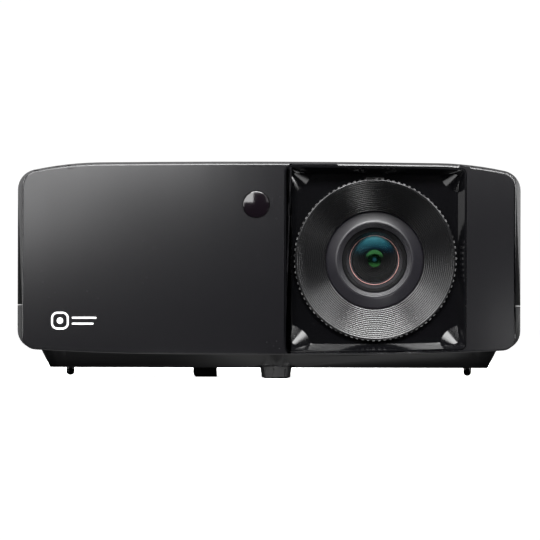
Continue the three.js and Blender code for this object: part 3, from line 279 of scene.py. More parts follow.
def polished(colour, roughness, spread=0.03):
    """Polished plastic: a slow wave in the surface, faint haze and a few specks of dust."""

    def build(g):
        at = g.place()
        haze = g.noise(at, 9.0, 3.0)
        dust = g.cells(at, 260.0).ramp(0.09, 0.02) * g.noise(at, 30.0).ramp(0.55, 0.7)
        swell = g.noise(at, 3.0, 1.0)
        dusty = [min(1.0, c + 0.012) for c in colour]
        return {
            "Base Color": g.blend(dust, colour, dusty),
            "Roughness": roughness + (haze - 0.5) * spread + dust * 0.2,
            "Normal": g.bump(swell, 0.0002, 0.2),
        }

    return build


def brushed(colour, roughness, along=(1, 40, 40)):
    """Metal with fine lines along one direction."""

    def build(g):
        lines = g.noise(g.stretched(g.place(), along), 60.0, 3.0, 0.6)
        patch = g.noise(g.place(), 40.0, 2.0)
        dull = [c * 0.72 for c in colour]
        return {
            "Base Color": g.blend(lines, dull, colour),
            "Roughness": roughness + (lines - 0.5) * 0.12 + (patch - 0.5) * 0.08,
            "Normal": g.bump(lines, 0.00005, 0.4),
        }

    return build


def board(g):
    """Solder mask with copper tracks under it and small pads."""
    at = g.place()
    tracks = g.noise(g.stretched(at, (400, 30, 30)), 1.0).ramp(0.48, 0.54)
    other = g.noise(g.stretched(at, (30, 400, 30)), 1.0).ramp(0.5, 0.56)
    pads = g.cells(at, 420.0).ramp(0.32, 0.26)
    track = (tracks + other).at_most(1.0)
    green = g.blend(track, (0.008, 0.07, 0.03), (0.015, 0.13, 0.05))
    return {
        "Base Color": g.blend(pads * 0.8, green, (0.55, 0.5, 0.42)),
        "Roughness": 0.45 - pads * 0.2,
        "Metallic": pads * 0.8,
        "Normal": g.bump(track + pads, 0.00004, 0.5),
    }


# colour, roughness, grain, depth of the grain, and what moulded takes after them; then fixed values
PLASTICS = {
    "case_plastic": (((0.0055, 0.0055, 0.006), 0.46, 2600.0, 0.00002), {"IOR": 1.48}),
    "cell_satin": (((0.009, 0.0084, 0.011), 0.36, 3200.0, 0.00001, 0.04, 0.2), {"IOR": 1.5}),
    # matt black paint inside a lens
    "lens_black": (((0.0009, 0.0009, 0.001), 0.6, 3200.0, 0.00001), {"IOR": 1.22}),
    # painted reflection: a solid reddish band that stands in for the reflection at the ground rim of a
    # coated lens
    "painted_rim_reflection": (((0.75, 0.40, 0.36), 0.34, 3000.0, 0.00001, 0.05, 0.2), {"Metallic": 0.7}),
    "soft_rubber": (((0.012, 0.012, 0.012), 0.78, 1500.0, 0.00004, 0.1, 0.4), {}),
    "port_black": (((0.008, 0.008, 0.008), 0.5, 2200.0, 0.00002), {}),
    "key_plastic": (((0.02, 0.02, 0.022), 0.5, 2800.0, 0.00002), {}),
    "white_print": (((0.78, 0.78, 0.78), 0.5, 2400.0, 0.000005, 0.05, 0.05), {}),
    "grey_print": (((0.33, 0.33, 0.34), 0.5, 2400.0, 0.000005, 0.05, 0.05), {}),
    "frosted_pipe": (((0.42, 0.43, 0.44), 0.35, 1800.0, 0.00001), {}),
}
# colour, roughness and the way the lines run
METALS = {
    "zinc_steel": ((0.56, 0.56, 0.57), 0.32),
    "nickel": ((0.62, 0.6, 0.57), 0.26, (40, 40, 1)),
    "cast_aluminium": ((0.6, 0.61, 0.62), 0.42, (6, 6, 30)),
    "machined_brass": ((0.62, 0.43, 0.17), 0.3, (30, 30, 2)),
}


def plastic(name):
    look, fixed = PLASTICS[name]
    return material(name, moulded(*look), **fixed)


def metal(name):
    return material(name, brushed(*METALS[name]), Metallic=1.0)


def panel_gloss():
    look = bpy.context.scene.projector_look
    return material(
        "panel_gloss",
        polished((0.0030, 0.0029, 0.0036), look.panel_roughness),
        **{"IOR": 1.5},
    )


def hood_gloss():
    return material("hood_gloss", polished((0.002, 0.002, 0.0024), 0.12, 0.02), **{"IOR": 1.52})


def window_gloss():
    return material("window_gloss", polished((0.003, 0.002, 0.003), 0.1, 0.02), **{"IOR": 1.5})


def ring_satin():
    """Satin plastic, turned fine, with painted highlights: a lighter colour on the tops of the knurls
    stands in for their bright glints.
    """

    def build(g):
        x, _, z = g.xyz(g.place())
        around = (z - LENS.z).angle_from(x - LENS.x)
        radius = ((x - LENS.x) ** 2 + (z - LENS.z) ** 2).sqrt()
        fine = g.noise(g.place(), 1900.0, 2.0)
        turned = g.noise(g.stretched(g.place(), (1, 900, 1)), 6.0)
        # painted highlight: short marks of lighter colour round the knurled rim stand in for the glints
        # on the knurl edges
        glint_dash = (around * 90.0).sin().ramp(-0.1, 0.5) * g.noise(g.place(), 120.0).ramp(0.3, 0.6)
        painted_crest_glint = radius.ramp(0.04366, 0.04392) * radius.ramp(0.0447, 0.0443) * glint_dash
        dark = g.blend(fine, (0.0035, 0.0035, 0.0038), (0.007, 0.007, 0.0074))
        return {
            "Base Color": g.blend(painted_crest_glint, dark, (0.1, 0.1, 0.1)),
            "Roughness": 0.2 + (turned - 0.5) * 0.06 + painted_crest_glint * 0.2,
            "Normal": g.bump(fine, 0.000005, 0.4),
        }

    return material("ring_satin", build, **{"IOR": 1.5})


def coated_glass(name, tint, strength):
    """Clear glass that shows only the coloured reflection of its coating."""

    def build(g):
        haze = g.noise(g.place(), 60.0, 3.0)
        return {"Roughness": 0.24 + haze * 0.04, "Alpha": strength + (haze - 0.5) * 0.02}

    finish = material(name, build, **{"Base Color": (0, 0, 0), "IOR": 1.5, "Specular Tint": tint})
    finish.surface_render_method = "BLENDED"
    return finish


def front_glass():
    """The front element, with painted reflections over a black barrel: a blue-green crescent high up,
    green arcs further in and a small cyan glint in the middle.
    """

    def build(g):
        x, _, z = g.xyz(g.place())
        across, up = x - LENS.x, z - LENS.z
        haze = g.noise(g.place(), 90.0, 3.0)

        def inside(centre, radius, soft):
            away = (across**2 + (up - centre) ** 2).sqrt()
            return away.ramp(radius + soft, radius - soft)

        # painted reflections: the blue-green crescent of a lamp above, the green arcs of the inner
        # coatings and the small cyan glint in the middle are drawn into the colour by position, and the
        # glass is made less clear where they lie
        high = inside(1.0 * MM, 11.6 * MM, 1.2 * MM) * up.ramp(0.5 * MM, 10.0 * MM)
        painted_teal_reflection = high * (1 - inside(-1.5 * MM, 7.5 * MM, 1.6 * MM)) * (0.8 + haze * 0.4)
        arc = inside(0.6 * MM, 5.0 * MM, 0.4 * MM) * (1 - inside(-0.9 * MM, 4.2 * MM, 0.6 * MM))
        bowl = inside(-0.2 * MM, 3.7 * MM, 0.3 * MM) * up.ramp(-0.4 * MM, -3.0 * MM)
        spot = inside(0.3 * MM, 1.1 * MM, 0.7 * MM)
        green = (arc * up.ramp(0.2 * MM, 4.0 * MM) + bowl * 0.8).at_most(1.0)
        # painted reflection: the blue-green turns lighter towards the top
        painted_sky_reflection = g.blend(up.ramp(5.0 * MM, 10.0 * MM), (0.002, 0.010, 0.022), (0.003, 0.026, 0.036))
        base = g.blend(painted_teal_reflection, (0.0003, 0.0003, 0.0004), painted_sky_reflection)
        base = g.blend(green, base, (0.016, 0.062, 0.016))
        base = g.blend(spot, base, (0.006, 0.03, 0.04))
        return {
            "Base Color": base,
            "Roughness": 0.2 + haze * 0.05,
            "Alpha": (0.03 + painted_teal_reflection * 0.6 + green * 0.7 + spot * 0.6).at_most(0.95),
        }

    finish = material("front_glass", build, **{"IOR": 1.3, "Specular Tint": (0.2, 0.7, 0.8)})
    finish.surface_render_method = "BLENDED"
    return finish


def circuit_board():
    return material("circuit_board", board)


def flat_cable():
    def build(g):
        x, _, _ = g.xyz(g.place())
        wires = x.wave(0.001)
        return {
            "Base Color": g.blend(wires, (0.5, 0.5, 0.47), (0.72, 0.71, 0.67)),
            "Roughness": 0.4 + wires * 0.15,
            "Normal": g.bump(wires, 0.0001, 0.5),
        }

    return material("flat_cable", build)


def phosphor_coat():
    def build(g):
        centre = middle("phosphor_wheel")[0]
        _, y, z = g.xyz(g.place())
        radius = ((y - centre.y) ** 2 + (z - centre.z) ** 2).sqrt()
        band = radius.ramp(0.0165, 0.0170) * radius.ramp(0.0245, 0.0240)
        grain = g.noise(g.place(), 2000.0)
        return {
            "Base Color": g.blend(band, (0.6, 0.61, 0.62), (0.75, 0.5, 0.06)),
            "Metallic": 1 - band,
            "Roughness": 0.25 + band * 0.45 + grain * 0.1,
        }

    return material("phosphor_coat", build)


# ---------------------------------------------------------------- modelling helpers


def clear_selection():
    if bpy.context.mode != "OBJECT":
        bpy.ops.object.mode_set(mode="OBJECT")
    bpy.ops.object.select_all(action="DESELECT")


def only(piece):
    clear_selection()
    piece.select_set(True)
    bpy.context.view_layer.objects.active = piece


def editing(piece, kind="FACE"):
    only(piece)
    bpy.ops.object.mode_set(mode="EDIT")
    bpy.ops.mesh.select_mode(type=kind)
    bpy.ops.mesh.select_all(action="DESELECT")


def done_editing():
    bpy.ops.object.mode_set(mode="OBJECT")


def pick_faces(piece, wanted):
    """In edit mode: selects the faces whose (centre, normal) pass the test."""
    bpy.ops.object.mode_set(mode="OBJECT")
    for face in piece.data.polygons:
        face.select = bool(wanted(face.center, face.normal))
    bpy.ops.object.mode_set(mode="EDIT")


def named(name, finish):
    piece = bpy.context.view_layer.objects.active
    piece.name = name
    piece.data.name = name
    piece.data.materials.clear()
    piece.data.materials.append(finish)
    return piece


def settle(piece):
    """Puts a piece's place, turn and scale into its mesh."""
    only(piece)
    bpy.ops.object.transform_apply(location=True, rotation=True, scale=True)


def mend(piece):
    """Merges doubled points and turns every face outwards."""
    editing(piece, "VERT")
    bpy.ops.mesh.select_all(action="SELECT")
    bpy.ops.mesh.remove_doubles(threshold=1e-6)
    bpy.ops.mesh.normals_make_consistent(inside=False)
    done_editing()


def smooth(piece, degrees=35):
    only(piece)
    bpy.ops.object.shade_smooth_by_angle(angle=math.radians(degrees))


def even(piece, degrees=35):
    """Smooth shading that keeps the large faces flat and the hard edges hard."""
    smooth(piece, degrees)
    weight = piece.modifiers.new("shading", "WEIGHTED_NORMAL")
    weight.keep_sharp = True
    bpy.ops.object.modifier_apply(modifier=weight.name)


def rounded(piece, width, segments=2, degrees=32):
    """Rounds a piece's hard edges and keeps its faces flat between them."""
    only(piece)
    bevel = piece.modifiers.new("edges", "BEVEL")
    bevel.width = width
    bevel.segments = segments
    bevel.limit_method = "ANGLE"
    bevel.angle_limit = math.radians(degrees)
    bevel.miter_outer = "MITER_ARC"
    bpy.ops.object.modifier_apply(modifier=bevel.name)
    even(piece, degrees + 18)


def merged_copy(node, name, finish, dissolve=0.1):
    """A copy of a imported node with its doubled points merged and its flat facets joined."""
    mesh = FRAME["nodes"][node].data.copy()
    piece = bpy.data.objects.new(name, mesh)
    bpy.context.scene.collection.objects.link(piece)
    mesh.name = name
    editing(piece, "VERT")
    bpy.ops.mesh.select_all(action="SELECT")
    bpy.ops.mesh.remove_doubles(threshold=2e-6)
    if dissolve:
        bpy.ops.mesh.dissolve_limited(angle_limit=math.radians(dissolve))
    done_editing()
    mesh.materials.clear()
    mesh.materials.append(finish)
    return piece


def refined(node, name, finish, width=0.0, segments=2, degrees=32):
    """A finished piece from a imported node, with its edges rounded."""
    piece = merged_copy(node, name, finish, 0.1 if width else 0.0)
    if width:
        rounded(piece, width, segments, degrees)
    else:
        even(piece, degrees)
    stand_for(piece, node)
    return piece


def outer_rim(shell):
    """The edges round the front face of the panel, without those of its openings."""
    points = shell.data.vertices
    rim = set()
    for edge in shell.data.edges:
        a, b = (points[i].co for i in edge.vertices)
        if max(a.y, b.y) > PANEL_LOW.y + 2.75 * MM or abs(a.y - b.y) > 0.5 * MM:
            continue
        place = (a + b) / 2
        in_window = math.hypot(place.x - WINDOW.x, place.z - WINDOW.z) < 9 * MM
        in_hood = HOOD_LOW.x - MM < place.x < HOOD_HIGH.x + MM
        in_hood = in_hood and HOOD_LOW.z < place.z < HOOD_HIGH.z + 0.2 * MM
        if not in_window and not in_hood:
            rim.add(edge.index)
    return rim


def stand_for(piece, *nodes):
    """The piece rides with the nodes that it replaces, and those nodes are hidden."""
    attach(piece, FRAME["nodes"][nodes[0]]["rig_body"])
    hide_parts(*nodes)
    return piece


def rides_on(piece, body):
    """An added piece that replaces no node."""
    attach(piece, body)
    return piece


def spun(name, profile, finish, steps=96, axis="Y", centre=(0, 0), closed=True, angle=35):
    """A solid turned about an axis. The profile is (radius, along) in metres from the centre."""
    cx, cz = centre
    along_y = axis == "Y"

    def spot(radius, along):
        return Vector((cx + radius, along, cz)) if along_y else Vector((cx + radius, cz, along))

    points = [spot(*p) for p in profile]
    if closed:
        points.append(points[0])
    clear_selection()
    bpy.ops.mesh.primitive_plane_add(size=0.001, location=points[0])
    bpy.ops.object.transform_apply(location=True, rotation=True, scale=True)
    bpy.ops.object.mode_set(mode="EDIT")
    bpy.ops.mesh.select_mode(type="VERT")
    bpy.ops.mesh.select_all(action="SELECT")
    bpy.ops.mesh.merge(type="CENTER")
    for before, after in zip(points, points[1:]):
        bpy.ops.mesh.extrude_vertices_move(TRANSFORM_OT_translate={"value": after - before})
    bpy.ops.mesh.select_all(action="SELECT")
    bpy.ops.mesh.remove_doubles(threshold=1e-7)
    bpy.ops.mesh.select_all(action="SELECT")
    pivot = (cx, 0, cz) if along_y else (cx, cz, 0)
    turn = (0, 1, 0) if along_y else (0, 0, 1)
    bpy.ops.mesh.spin(steps=steps, angle=2 * math.pi, center=pivot, axis=turn)
    done_editing()
    piece = named(name, finish)
    mend(piece)
    smooth(piece, angle)
    return piece


def block(name, low, high, finish, round_by=0.0, segments=2):
    """A box between two corners with rounded edges."""
    low, high = Vector(low), Vector(high)
    clear_selection()
    bpy.ops.mesh.primitive_cube_add(size=1, location=(low + high) / 2, scale=high - low)
    piece = named(name, finish)
    settle(piece)
    if round_by:
        rounded(piece, round_by, segments)
    return piece


def joined(name, pieces):
    clear_selection()
    for piece in pieces:
        piece.select_set(True)
    bpy.context.view_layer.objects.active = pieces[0]
    bpy.ops.object.join()
    pieces[0].name = name
    pieces[0].data.name = name
    return pieces[0]


# ---------------------------------------------------------------- sizes and settings a user would change


class ProjectorLook(bpy.types.PropertyGroup):
    """The look of the pieces."""

    panel_roughness: bpy.props.FloatProperty(
        name="Panel roughness",
        description="How soft the reflections in the front panel are",
        default=0.22,
        min=0.05,
        max=0.9,
        subtype="FACTOR",
    )
    edge_round: bpy.props.FloatProperty(
        name="Panel edge",
        description="Radius of the front panel's outer edge",
        default=0.9 * MM,
        unit="LENGTH",
        precision=4,
    )
    ridge_count: bpy.props.IntProperty(
        name="Ridges",
        description="Concentric ridges in the focus ring's funnel",
        default=16,
        min=4,
        max=40,
    )
    ridge_height: bpy.props.FloatProperty(
        name="Ridge height",
        description="Height of each ridge above the funnel",
        default=0.7 * MM,
        unit="LENGTH",
        precision=5,
    )
    knurl_count: bpy.props.IntProperty(
        name="Knurls", description="Teeth round the focus ring", default=90, min=12, max=180
    )


class ProjectorStage(bpy.types.PropertyGroup):
    """The camera."""

    distance: bpy.props.FloatProperty(
        name="Camera distance",
        description="From the front panel to the camera",
        default=4.0,
        unit="LENGTH",
    )
    height: bpy.props.FloatProperty(
        name="Camera height", description="Above the table", default=0.047, unit="LENGTH"
    )
    frame_width: bpy.props.FloatProperty(
        name="Frame width",
        description="Width of the picture at the front panel",
        default=0.29387,
        unit="LENGTH",
        precision=4,
    )
    roll: bpy.props.FloatProperty(
        name="Camera roll", description="Turn of the picture", default=math.radians(0.15), unit="ROTATION"
    )


# ---------------------------------------------------------------- pieces


class PROJECTOR_OT_case(bpy.types.Operator):
    """Makes the upper and the lower case shell"""

    bl_idname = "projector.case"
    bl_label = "Case shells"

    def execute(self, context):
        refined("upper_case", "case_top", plastic("case_plastic"))
        refined("lower_case", "case_base", plastic("case_plastic"))
        return {"FINISHED"}


class PROJECTOR_OT_front_panel(bpy.types.Operator):
    """Makes the gloss front panel with its rounded edge"""

    bl_idname = "projector.front_panel"
    bl_label = "Front panel"

    def execute(self, context):
        look = context.scene.projector_look
        shell = merged_copy("front_panel", "front_shell", panel_gloss())
        editing(shell, "VERT")
        strips = 44
        for i in range(1, strips):
            x = PANEL_LOW.x + (PANEL_HIGH.x - PANEL_LOW.x) * i / strips
            bpy.ops.mesh.select_all(action="SELECT")
            bpy.ops.mesh.bisect(plane_co=(x, 0, 0), plane_no=(1, 0, 0))
        bpy.ops.mesh.select_mode(type="EDGE")
        bpy.ops.mesh.select_all(action="DESELECT")
        bpy.ops.mesh.edges_select_sharp(sharpness=math.radians(50))
        done_editing()
        rim = outer_rim(shell)
        for edge in shell.data.edges:
            edge.select = edge.select and edge.index in rim
        bpy.ops.object.mode_set(mode="EDIT")
        bpy.ops.mesh.bevel(offset=look.edge_round, segments=4, affect="EDGES")
        done_editing()
        rounded(shell, 0.22 * MM, 2)
        stand_for(shell, "front_panel")
        return {"FINISHED"}


class PROJECTOR_OT_hood(bpy.types.Operator):
    """Makes the mirror-gloss hood with its scooped corners"""

    bl_idname = "projector.hood"
    bl_label = "Lens hood"

    def execute(self, context):
        frame = merged_copy("lens_hood", "hood", hood_gloss())
        rounded(frame, 0.3 * MM, 3, 40)
        mouth_low, mouth_high = HOOD_LOW + HOOD_RIM, HOOD_HIGH - HOOD_RIM
        base, tip = LENS.y + HOOD_DEPTH + 0.4 * MM, LENS.y + CONE_TIP
        parts = [frame]
        for x, away_x in ((mouth_low.x, -1), (mouth_high.x, 1)):
            for z, away_z in ((mouth_low.z, -1), (mouth_high.z, 1)):
                clear_selection()
                bpy.ops.mesh.primitive_cone_add(
                    vertices=160,
                    radius1=CONE_RADIUS,
                    radius2=CONE_TIP_RADIUS,
                    depth=base - tip,
                    location=(x, (base + tip) / 2, z),
                    rotation=(math.radians(90), 0, 0),
                )
                cone = named("corner_fan", hood_gloss())
                settle(cone)
                editing(cone, "VERT")
                for place, normal in (((x, 0, z), (away_x, 0, 0)), ((x, 0, z), (0, 0, away_z))):
                    bpy.ops.mesh.select_all(action="SELECT")
                    bpy.ops.mesh.bisect(
                        plane_co=place, plane_no=normal, use_fill=True, clear_outer=True
                    )
                done_editing()
                mend(cone)
                even(cone, 30)
                parts.append(cone)
        hood = joined("hood", parts)
        stand_for(hood, "lens_hood")
        return {"FINISHED"}


class PROJECTOR_OT_window(bpy.types.Operator):
    """Makes the round remote window"""

    bl_idname = "projector.window"
    bl_label = "Remote window"

    def execute(self, context):
        centre, size = middle("ir_window")
        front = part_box("ir_window")[0].y
        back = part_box("ir_window")[1].y
        rim = 7.2 * MM
        flange = size.x / 2
        profile = [
            (0, front),
            (rim - 0.5 * MM, front),
            (rim - 0.15 * MM, front + 0.12 * MM),
            (rim, front + 0.45 * MM),
            (rim, back - 1.4 * MM),
            (flange, back - 1.4 * MM),
            (flange, back),
            (0, back),
        ]
        piece = spun("remote_window", profile, window_gloss(), 96, "Y", (centre.x, centre.z), False)
        stand_for(piece, "ir_window")
        return {"FINISHED"}


class PROJECTOR_OT_focus_ring(bpy.types.Operator):
    """Makes the focus ring: knurled rim, finger lug and ridged funnel"""

    bl_idname = "projector.focus_ring"
    bl_label = "Focus ring"

    def execute(self, context):
        look = context.scene.projector_look
        low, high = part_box("focus_ring")
        front = low.y
        rim, mouth, throat = 44.0 * MM, 43.4 * MM, 27.2 * MM
        depth = 26.5 * MM
        slope = Vector((throat - mouth, depth)).normalized()
        out = Vector((-slope.y, slope.x))
        length = math.hypot(mouth - throat, depth)
        pitch = length / look.ridge_count
        profile = [(rim - 0.3 * MM, front + 0.08 * MM)]
        for i in range(look.ridge_count):
            start = Vector((mouth, front)) + slope * (i * pitch)
            for step in range(RIDGE_STEPS):
                along = step / RIDGE_STEPS
                rise = math.sin(math.pi * along) ** 0.7
                spot = start + slope * (along * pitch) + out * (rise * look.ridge_height)
                profile.append((spot.x, spot.y))
        flange = front + 3 * MM
        funnel = (mouth - throat) / depth
        hub = high.y
        profile += [
            (throat, front + depth),
            (throat, front + depth + 2.2 * MM),
            (HUB_RADIUS - 2 * MM, front + depth + 2.2 * MM),
            (HUB_RADIUS - 2 * MM, hub),
            (HUB_RADIUS, hub),
            (HUB_RADIUS, front + (mouth - HUB_RADIUS + RING_WALL) / funnel),
            (mouth - 3 * MM * funnel + RING_WALL, flange),
            (rim, flange),
            (rim, front + 0.4 * MM),
        ]
        steps = 2 * look.knurl_count
        centre = (LENS.x, LENS.z)
        piece = spun("ridged_focus_ring", profile, ring_satin(), steps, "Y", centre)
        turn = math.pi / look.knurl_count

        def tooth(place, normal):
            flat = Vector((place.x - LENS.x, place.z - LENS.z))
            if abs(normal.y) > 0.3 or flat.length < rim * 0.99:
                return False
            if not front + 0.2 * MM < place.y < flange:
                return False
            return int(math.floor(math.atan2(flat.y, flat.x) / turn)) % 2 == 0

        editing(piece)
        pick_faces(piece, tooth)
        bpy.ops.mesh.inset(thickness=0.12 * MM, use_individual=True)
        bpy.ops.mesh.extrude_region_shrink_fatten(
            TRANSFORM_OT_shrink_fatten={"value": 0.35 * MM}
        )
        done_editing()
        lug = block(
            "finger_lug",
            (LENS.x - 5 * MM, front + 0.5 * MM, LENS.z + 43.6 * MM),
            (LENS.x + 5 * MM, flange, LENS.z + 45.0 * MM),
            ring_satin(),
            0.3 * MM,
            2,
        )
        smooth(piece, 40)
        piece = joined("ridged_focus_ring", [piece, lug])
        stand_for(piece, "focus_ring")
        return {"FINISHED"}


class PROJECTOR_OT_lens_cell(bpy.types.Operator):
    """Makes the lens cell, the retainer, the reddish bands of painted rim reflection and the aperture"""

    bl_idname = "projector.lens_cell"
    bl_label = "Lens cell"

    def execute(self, context):
        low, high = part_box("lens_cell")
        front, back = low.y, high.y
        centre = (LENS.x, LENS.z)
        outer = (high.x - low.x) / 2
        shoulder = front + 2.6 * MM
        seat = shoulder + 7.8 * MM
        profile = [(outer, back), (outer, shoulder + 0.25 * MM), (outer - 0.2 * MM, shoulder)]
        lip = 20.9 * MM
        for i in range(1, 8):
            t = i / 7
            radius = outer - 0.2 * MM + (lip - outer + 0.2 * MM) * t
            profile.append((radius, shoulder - 2.6 * MM * (t + 0.08 * t * (1 - t))))
        profile += [(20.3 * MM, front + 0.05 * MM), (20.1 * MM, front + 0.5 * MM)]
        radius, y = 20.1 * MM, front + 0.9 * MM
        while radius > 18.6 * MM:
            profile += [
                (radius, y),
                (radius - 0.15 * MM, y + 0.1 * MM),
                (radius - 0.55 * MM, y + 0.12 * MM),
                (radius - 0.7 * MM, y + 0.3 * MM),
                (radius - 0.7 * MM, y + 0.75 * MM),
            ]
            radius -= 0.7 * MM
            y += 0.75 * MM
        profile += [
            (18.1 * MM, seat - 0.5 * MM),
            (14.5 * MM, seat - 0.5 * MM),
            (14.5 * MM, seat + 2.7 * MM),
            (12.5 * MM, seat + 2.7 * MM),
            (12.5 * MM, back),
        ]
        cell = spun("turned_lens_cell", profile, plastic("cell_satin"), 128, "Y", centre)
        stand_for(cell, "lens_cell")

        low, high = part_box("lens_retainer")
        edge = (high.x - low.x) / 2
        ring = [
            (edge, high.y),
            (edge, low.y),
            (17.2 * MM, low.y),
            (17.0 * MM, low.y + 0.35 * MM),
            (16.5 * MM, low.y + 0.4 * MM),
            (16.3 * MM, low.y + 0.8 * MM),
            (15.8 * MM, low.y + 0.85 * MM),
            (15.6 * MM, low.y + 1.1 * MM),
            (15.6 * MM, high.y),
        ]
        retainer = spun("stepped_retainer", ring, ring_satin(), 96, "Y", centre)
        stand_for(retainer, "lens_retainer")

        low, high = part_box("aperture_ring")
        edge = (high.x - low.x) / 2
        steps = []
        radius, y = 9.4 * MM, low.y
        while radius > 4.6 * MM:
            steps += [(radius, y), (radius - 0.5 * MM, y + 0.06 * MM)]
            steps += [(radius - 0.62 * MM, y + 0.34 * MM), (radius - 0.95 * MM, y + 0.36 * MM)]
            radius -= 0.95 * MM
            y += 0.42 * MM
        iris = [(edge, high.y), (edge, low.y), *steps, (4.2 * MM, y + 0.3 * MM), (4.2 * MM, high.y)]
        aperture = spun("stepped_aperture", iris, plastic("lens_black"), 96, "Y", centre)
        stand_for(aperture, "aperture_ring")

        glass_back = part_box("front_lens")[1].y
        # painted reflections: two solid reddish bands stand in for the reflections at the coated rims of
        # the glass
        rims = []
        for name, radius, width, y in (
            ("outer_painted_rim_reflection", 15.35 * MM, 0.28 * MM, glass_back - 0.2 * MM),
            ("inner_painted_rim_reflection", 13.5 * MM, 0.2 * MM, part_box("aperture_ring")[0].y - 0.6 * MM),
        ):
            band = [
                (radius + width, y),
                (radius + width * 0.6, y - width * 0.8),
                (radius - width * 0.6, y - width * 0.8),
                (radius - width, y),
                (radius - width, y + 0.25 * MM),
                (radius + width, y + 0.25 * MM),
            ]
            rims.append(spun(name, band, plastic("painted_rim_reflection"), 96, "Y", centre))
        for rim in rims:
            rides_on(rim, "lens_group")
        return {"FINISHED"}


def lens_profile(node, front_curve, back_curve, steps=16):
    """The half section of a lens that fills a node's box, domed as far as its edge stays thick enough."""
    low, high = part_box(node)
    rim = (high.x - low.x) / 2
    most = (high.y - low.y) / 2 - 0.35 * MM

    def fall(radius, curve):
        return min(most, curve - math.sqrt(max(0.0, curve**2 - radius**2))) if radius < curve else most

    radii = [rim * i / steps for i in range(steps + 1)]
    front = [(radius, low.y + fall(radius, front_curve)) for radius in radii]
    back = [(radius, high.y - fall(radius, back_curve)) for radius in reversed(radii)]
    return front + back


class PROJECTOR_OT_glass(bpy.types.Operator):
    """Makes the coated lens elements"""

    bl_idname = "projector.glass"
    bl_label = "Lens elements"

    def execute(self, context):
        centre = (LENS.x, LENS.z)
        for node, name, curves, tint, strength in (
            ("front_lens", "coated_front_lens", (46 * MM, 180 * MM), (0.12, 0.55, 0.75), 0.45),
            ("second_lens", "coated_second_lens", (22 * MM, 22 * MM), (0.2, 0.9, 0.35), 0.5),
            ("rear_lens", "coated_rear_lens", (30 * MM, 30 * MM), (0.3, 0.8, 0.5), 0.4),
        ):
            profile = lens_profile(node, *curves)
            first = node == "front_lens"
            glass = front_glass() if first else coated_glass(f"{name}_coat", tint, strength)
            piece = spun(name, profile, glass, 96, "Y", centre, False, 50)
            stand_for(piece, node)
        return {"FINISHED"}


class PROJECTOR_OT_feet(bpy.types.Operator):
    """Makes the adjustable front foot, the slim rear feet and the block"""

    bl_idname = "projector.feet"
    bl_label = "Feet"

    def execute(self, context):
        knob = refined("foot_knob", "grip_knob", plastic("case_plastic"), 0.2 * MM, 2)
        editing(knob, "VERT")
        bpy.ops.mesh.select_all(action="SELECT")
        foot = middle("foot_knob")[0]
        bpy.ops.transform.rotate(value=math.radians(23.7), orient_axis="Z", center_override=foot)
        done_editing()
        refined("foot_pad", "grip_pad", plastic("soft_rubber"), 0.25 * MM, 2)
        refined("stub_foot", "rubber_block", plastic("soft_rubber"), 0.25 * MM, 2)
        for side in ("left", "right"):
            node = f"rear_foot_{side}"
            centre, size = middle(node)
            low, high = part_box(node)
            radius = size.x / 2
            profile = [(0, low.z)]
            for i in range(1, 9):
                angle = math.pi / 2 * i / 8
                rise = 2.0 * MM * (1 - math.cos(angle))
                profile.append((radius * math.sin(angle), low.z + rise))
            profile += [
                (radius, low.z + 5.2 * MM),
                (radius - 0.7 * MM, low.z + 5.5 * MM),
                (radius - 0.7 * MM, high.z),
                (0, high.z),
            ]
            place = (centre.x, centre.y)
            piece = spun(f"slim_foot_{side}", profile, hood_gloss(), 40, "Z", place, False, 60)
            stand_for(piece, node)
        return {"FINISHED"}


KEY_SIGNS = {
    "power_button": "ring",
    "up_button": 90,
    "down_button": 270,
    "left_button": 180,
    "right_button": 0,
    "enter_button": "dot",
    "menu_button": "bars",
    "source_button": "box",
}


# across, up, half width, half height, in millimetres
BOX_SIDES = ((0, 1.2, 1.6, 0.2), (0, -1.2, 1.6, 0.2), (-1.4, 0, 0.2, 1.4), (1.4, 0, 0.2, 1.4))


def sign(name, kind, centre, height):
    """A thin printed sign on a key."""
    x, y = centre
    thick = 0.06 * MM
    parts = []
    if kind == "bars":
        for k in (-1, 0, 1):
            low = (x - 1.5 * MM, y + (k * 1.0 - 0.2) * MM, height)
            high = (x + 1.5 * MM, y + (k * 1.0 + 0.2) * MM, height + thick)
            parts.append(block(f"{name}_bar", low, high, plastic("grey_print")))
    elif kind == "box":
        for dx, dy, wx, wy in BOX_SIDES:
            low = (x + (dx - wx) * MM, y + (dy - wy) * MM, height)
            high = (x + (dx + wx) * MM, y + (dy + wy) * MM, height + thick)
            parts.append(block(f"{name}_side", low, high, plastic("grey_print")))
    elif kind in ("ring", "dot"):
        outer, inner = (2.4 * MM, 1.95 * MM) if kind == "ring" else (1.0 * MM, 0.55 * MM)
        band = [(outer, height), (outer, height + thick), (inner, height + thick), (inner, height)]
        parts.append(spun(f"{name}_band", band, plastic("grey_print"), 32, "Z", (x, y)))
        if kind == "ring":
            low = (x - 0.2 * MM, y + 0.3 * MM, height)
            high = (x + 0.2 * MM, y + 1.6 * MM, height + thick)
            parts.append(block(f"{name}_stem", low, high, plastic("grey_print")))
    else:
        clear_selection()
        bpy.ops.mesh.primitive_cylinder_add(
            vertices=3, radius=1.5 * MM, depth=thick, location=(x, y, height + thick / 2)
        )
        arrow = named(f"{name}_arrow", plastic("grey_print"))
        arrow.rotation_euler.z = math.radians(kind - 90)
        settle(arrow)
        rounded(arrow, 0.12 * MM, 2)
        parts.append(arrow)
    return joined(name, parts)


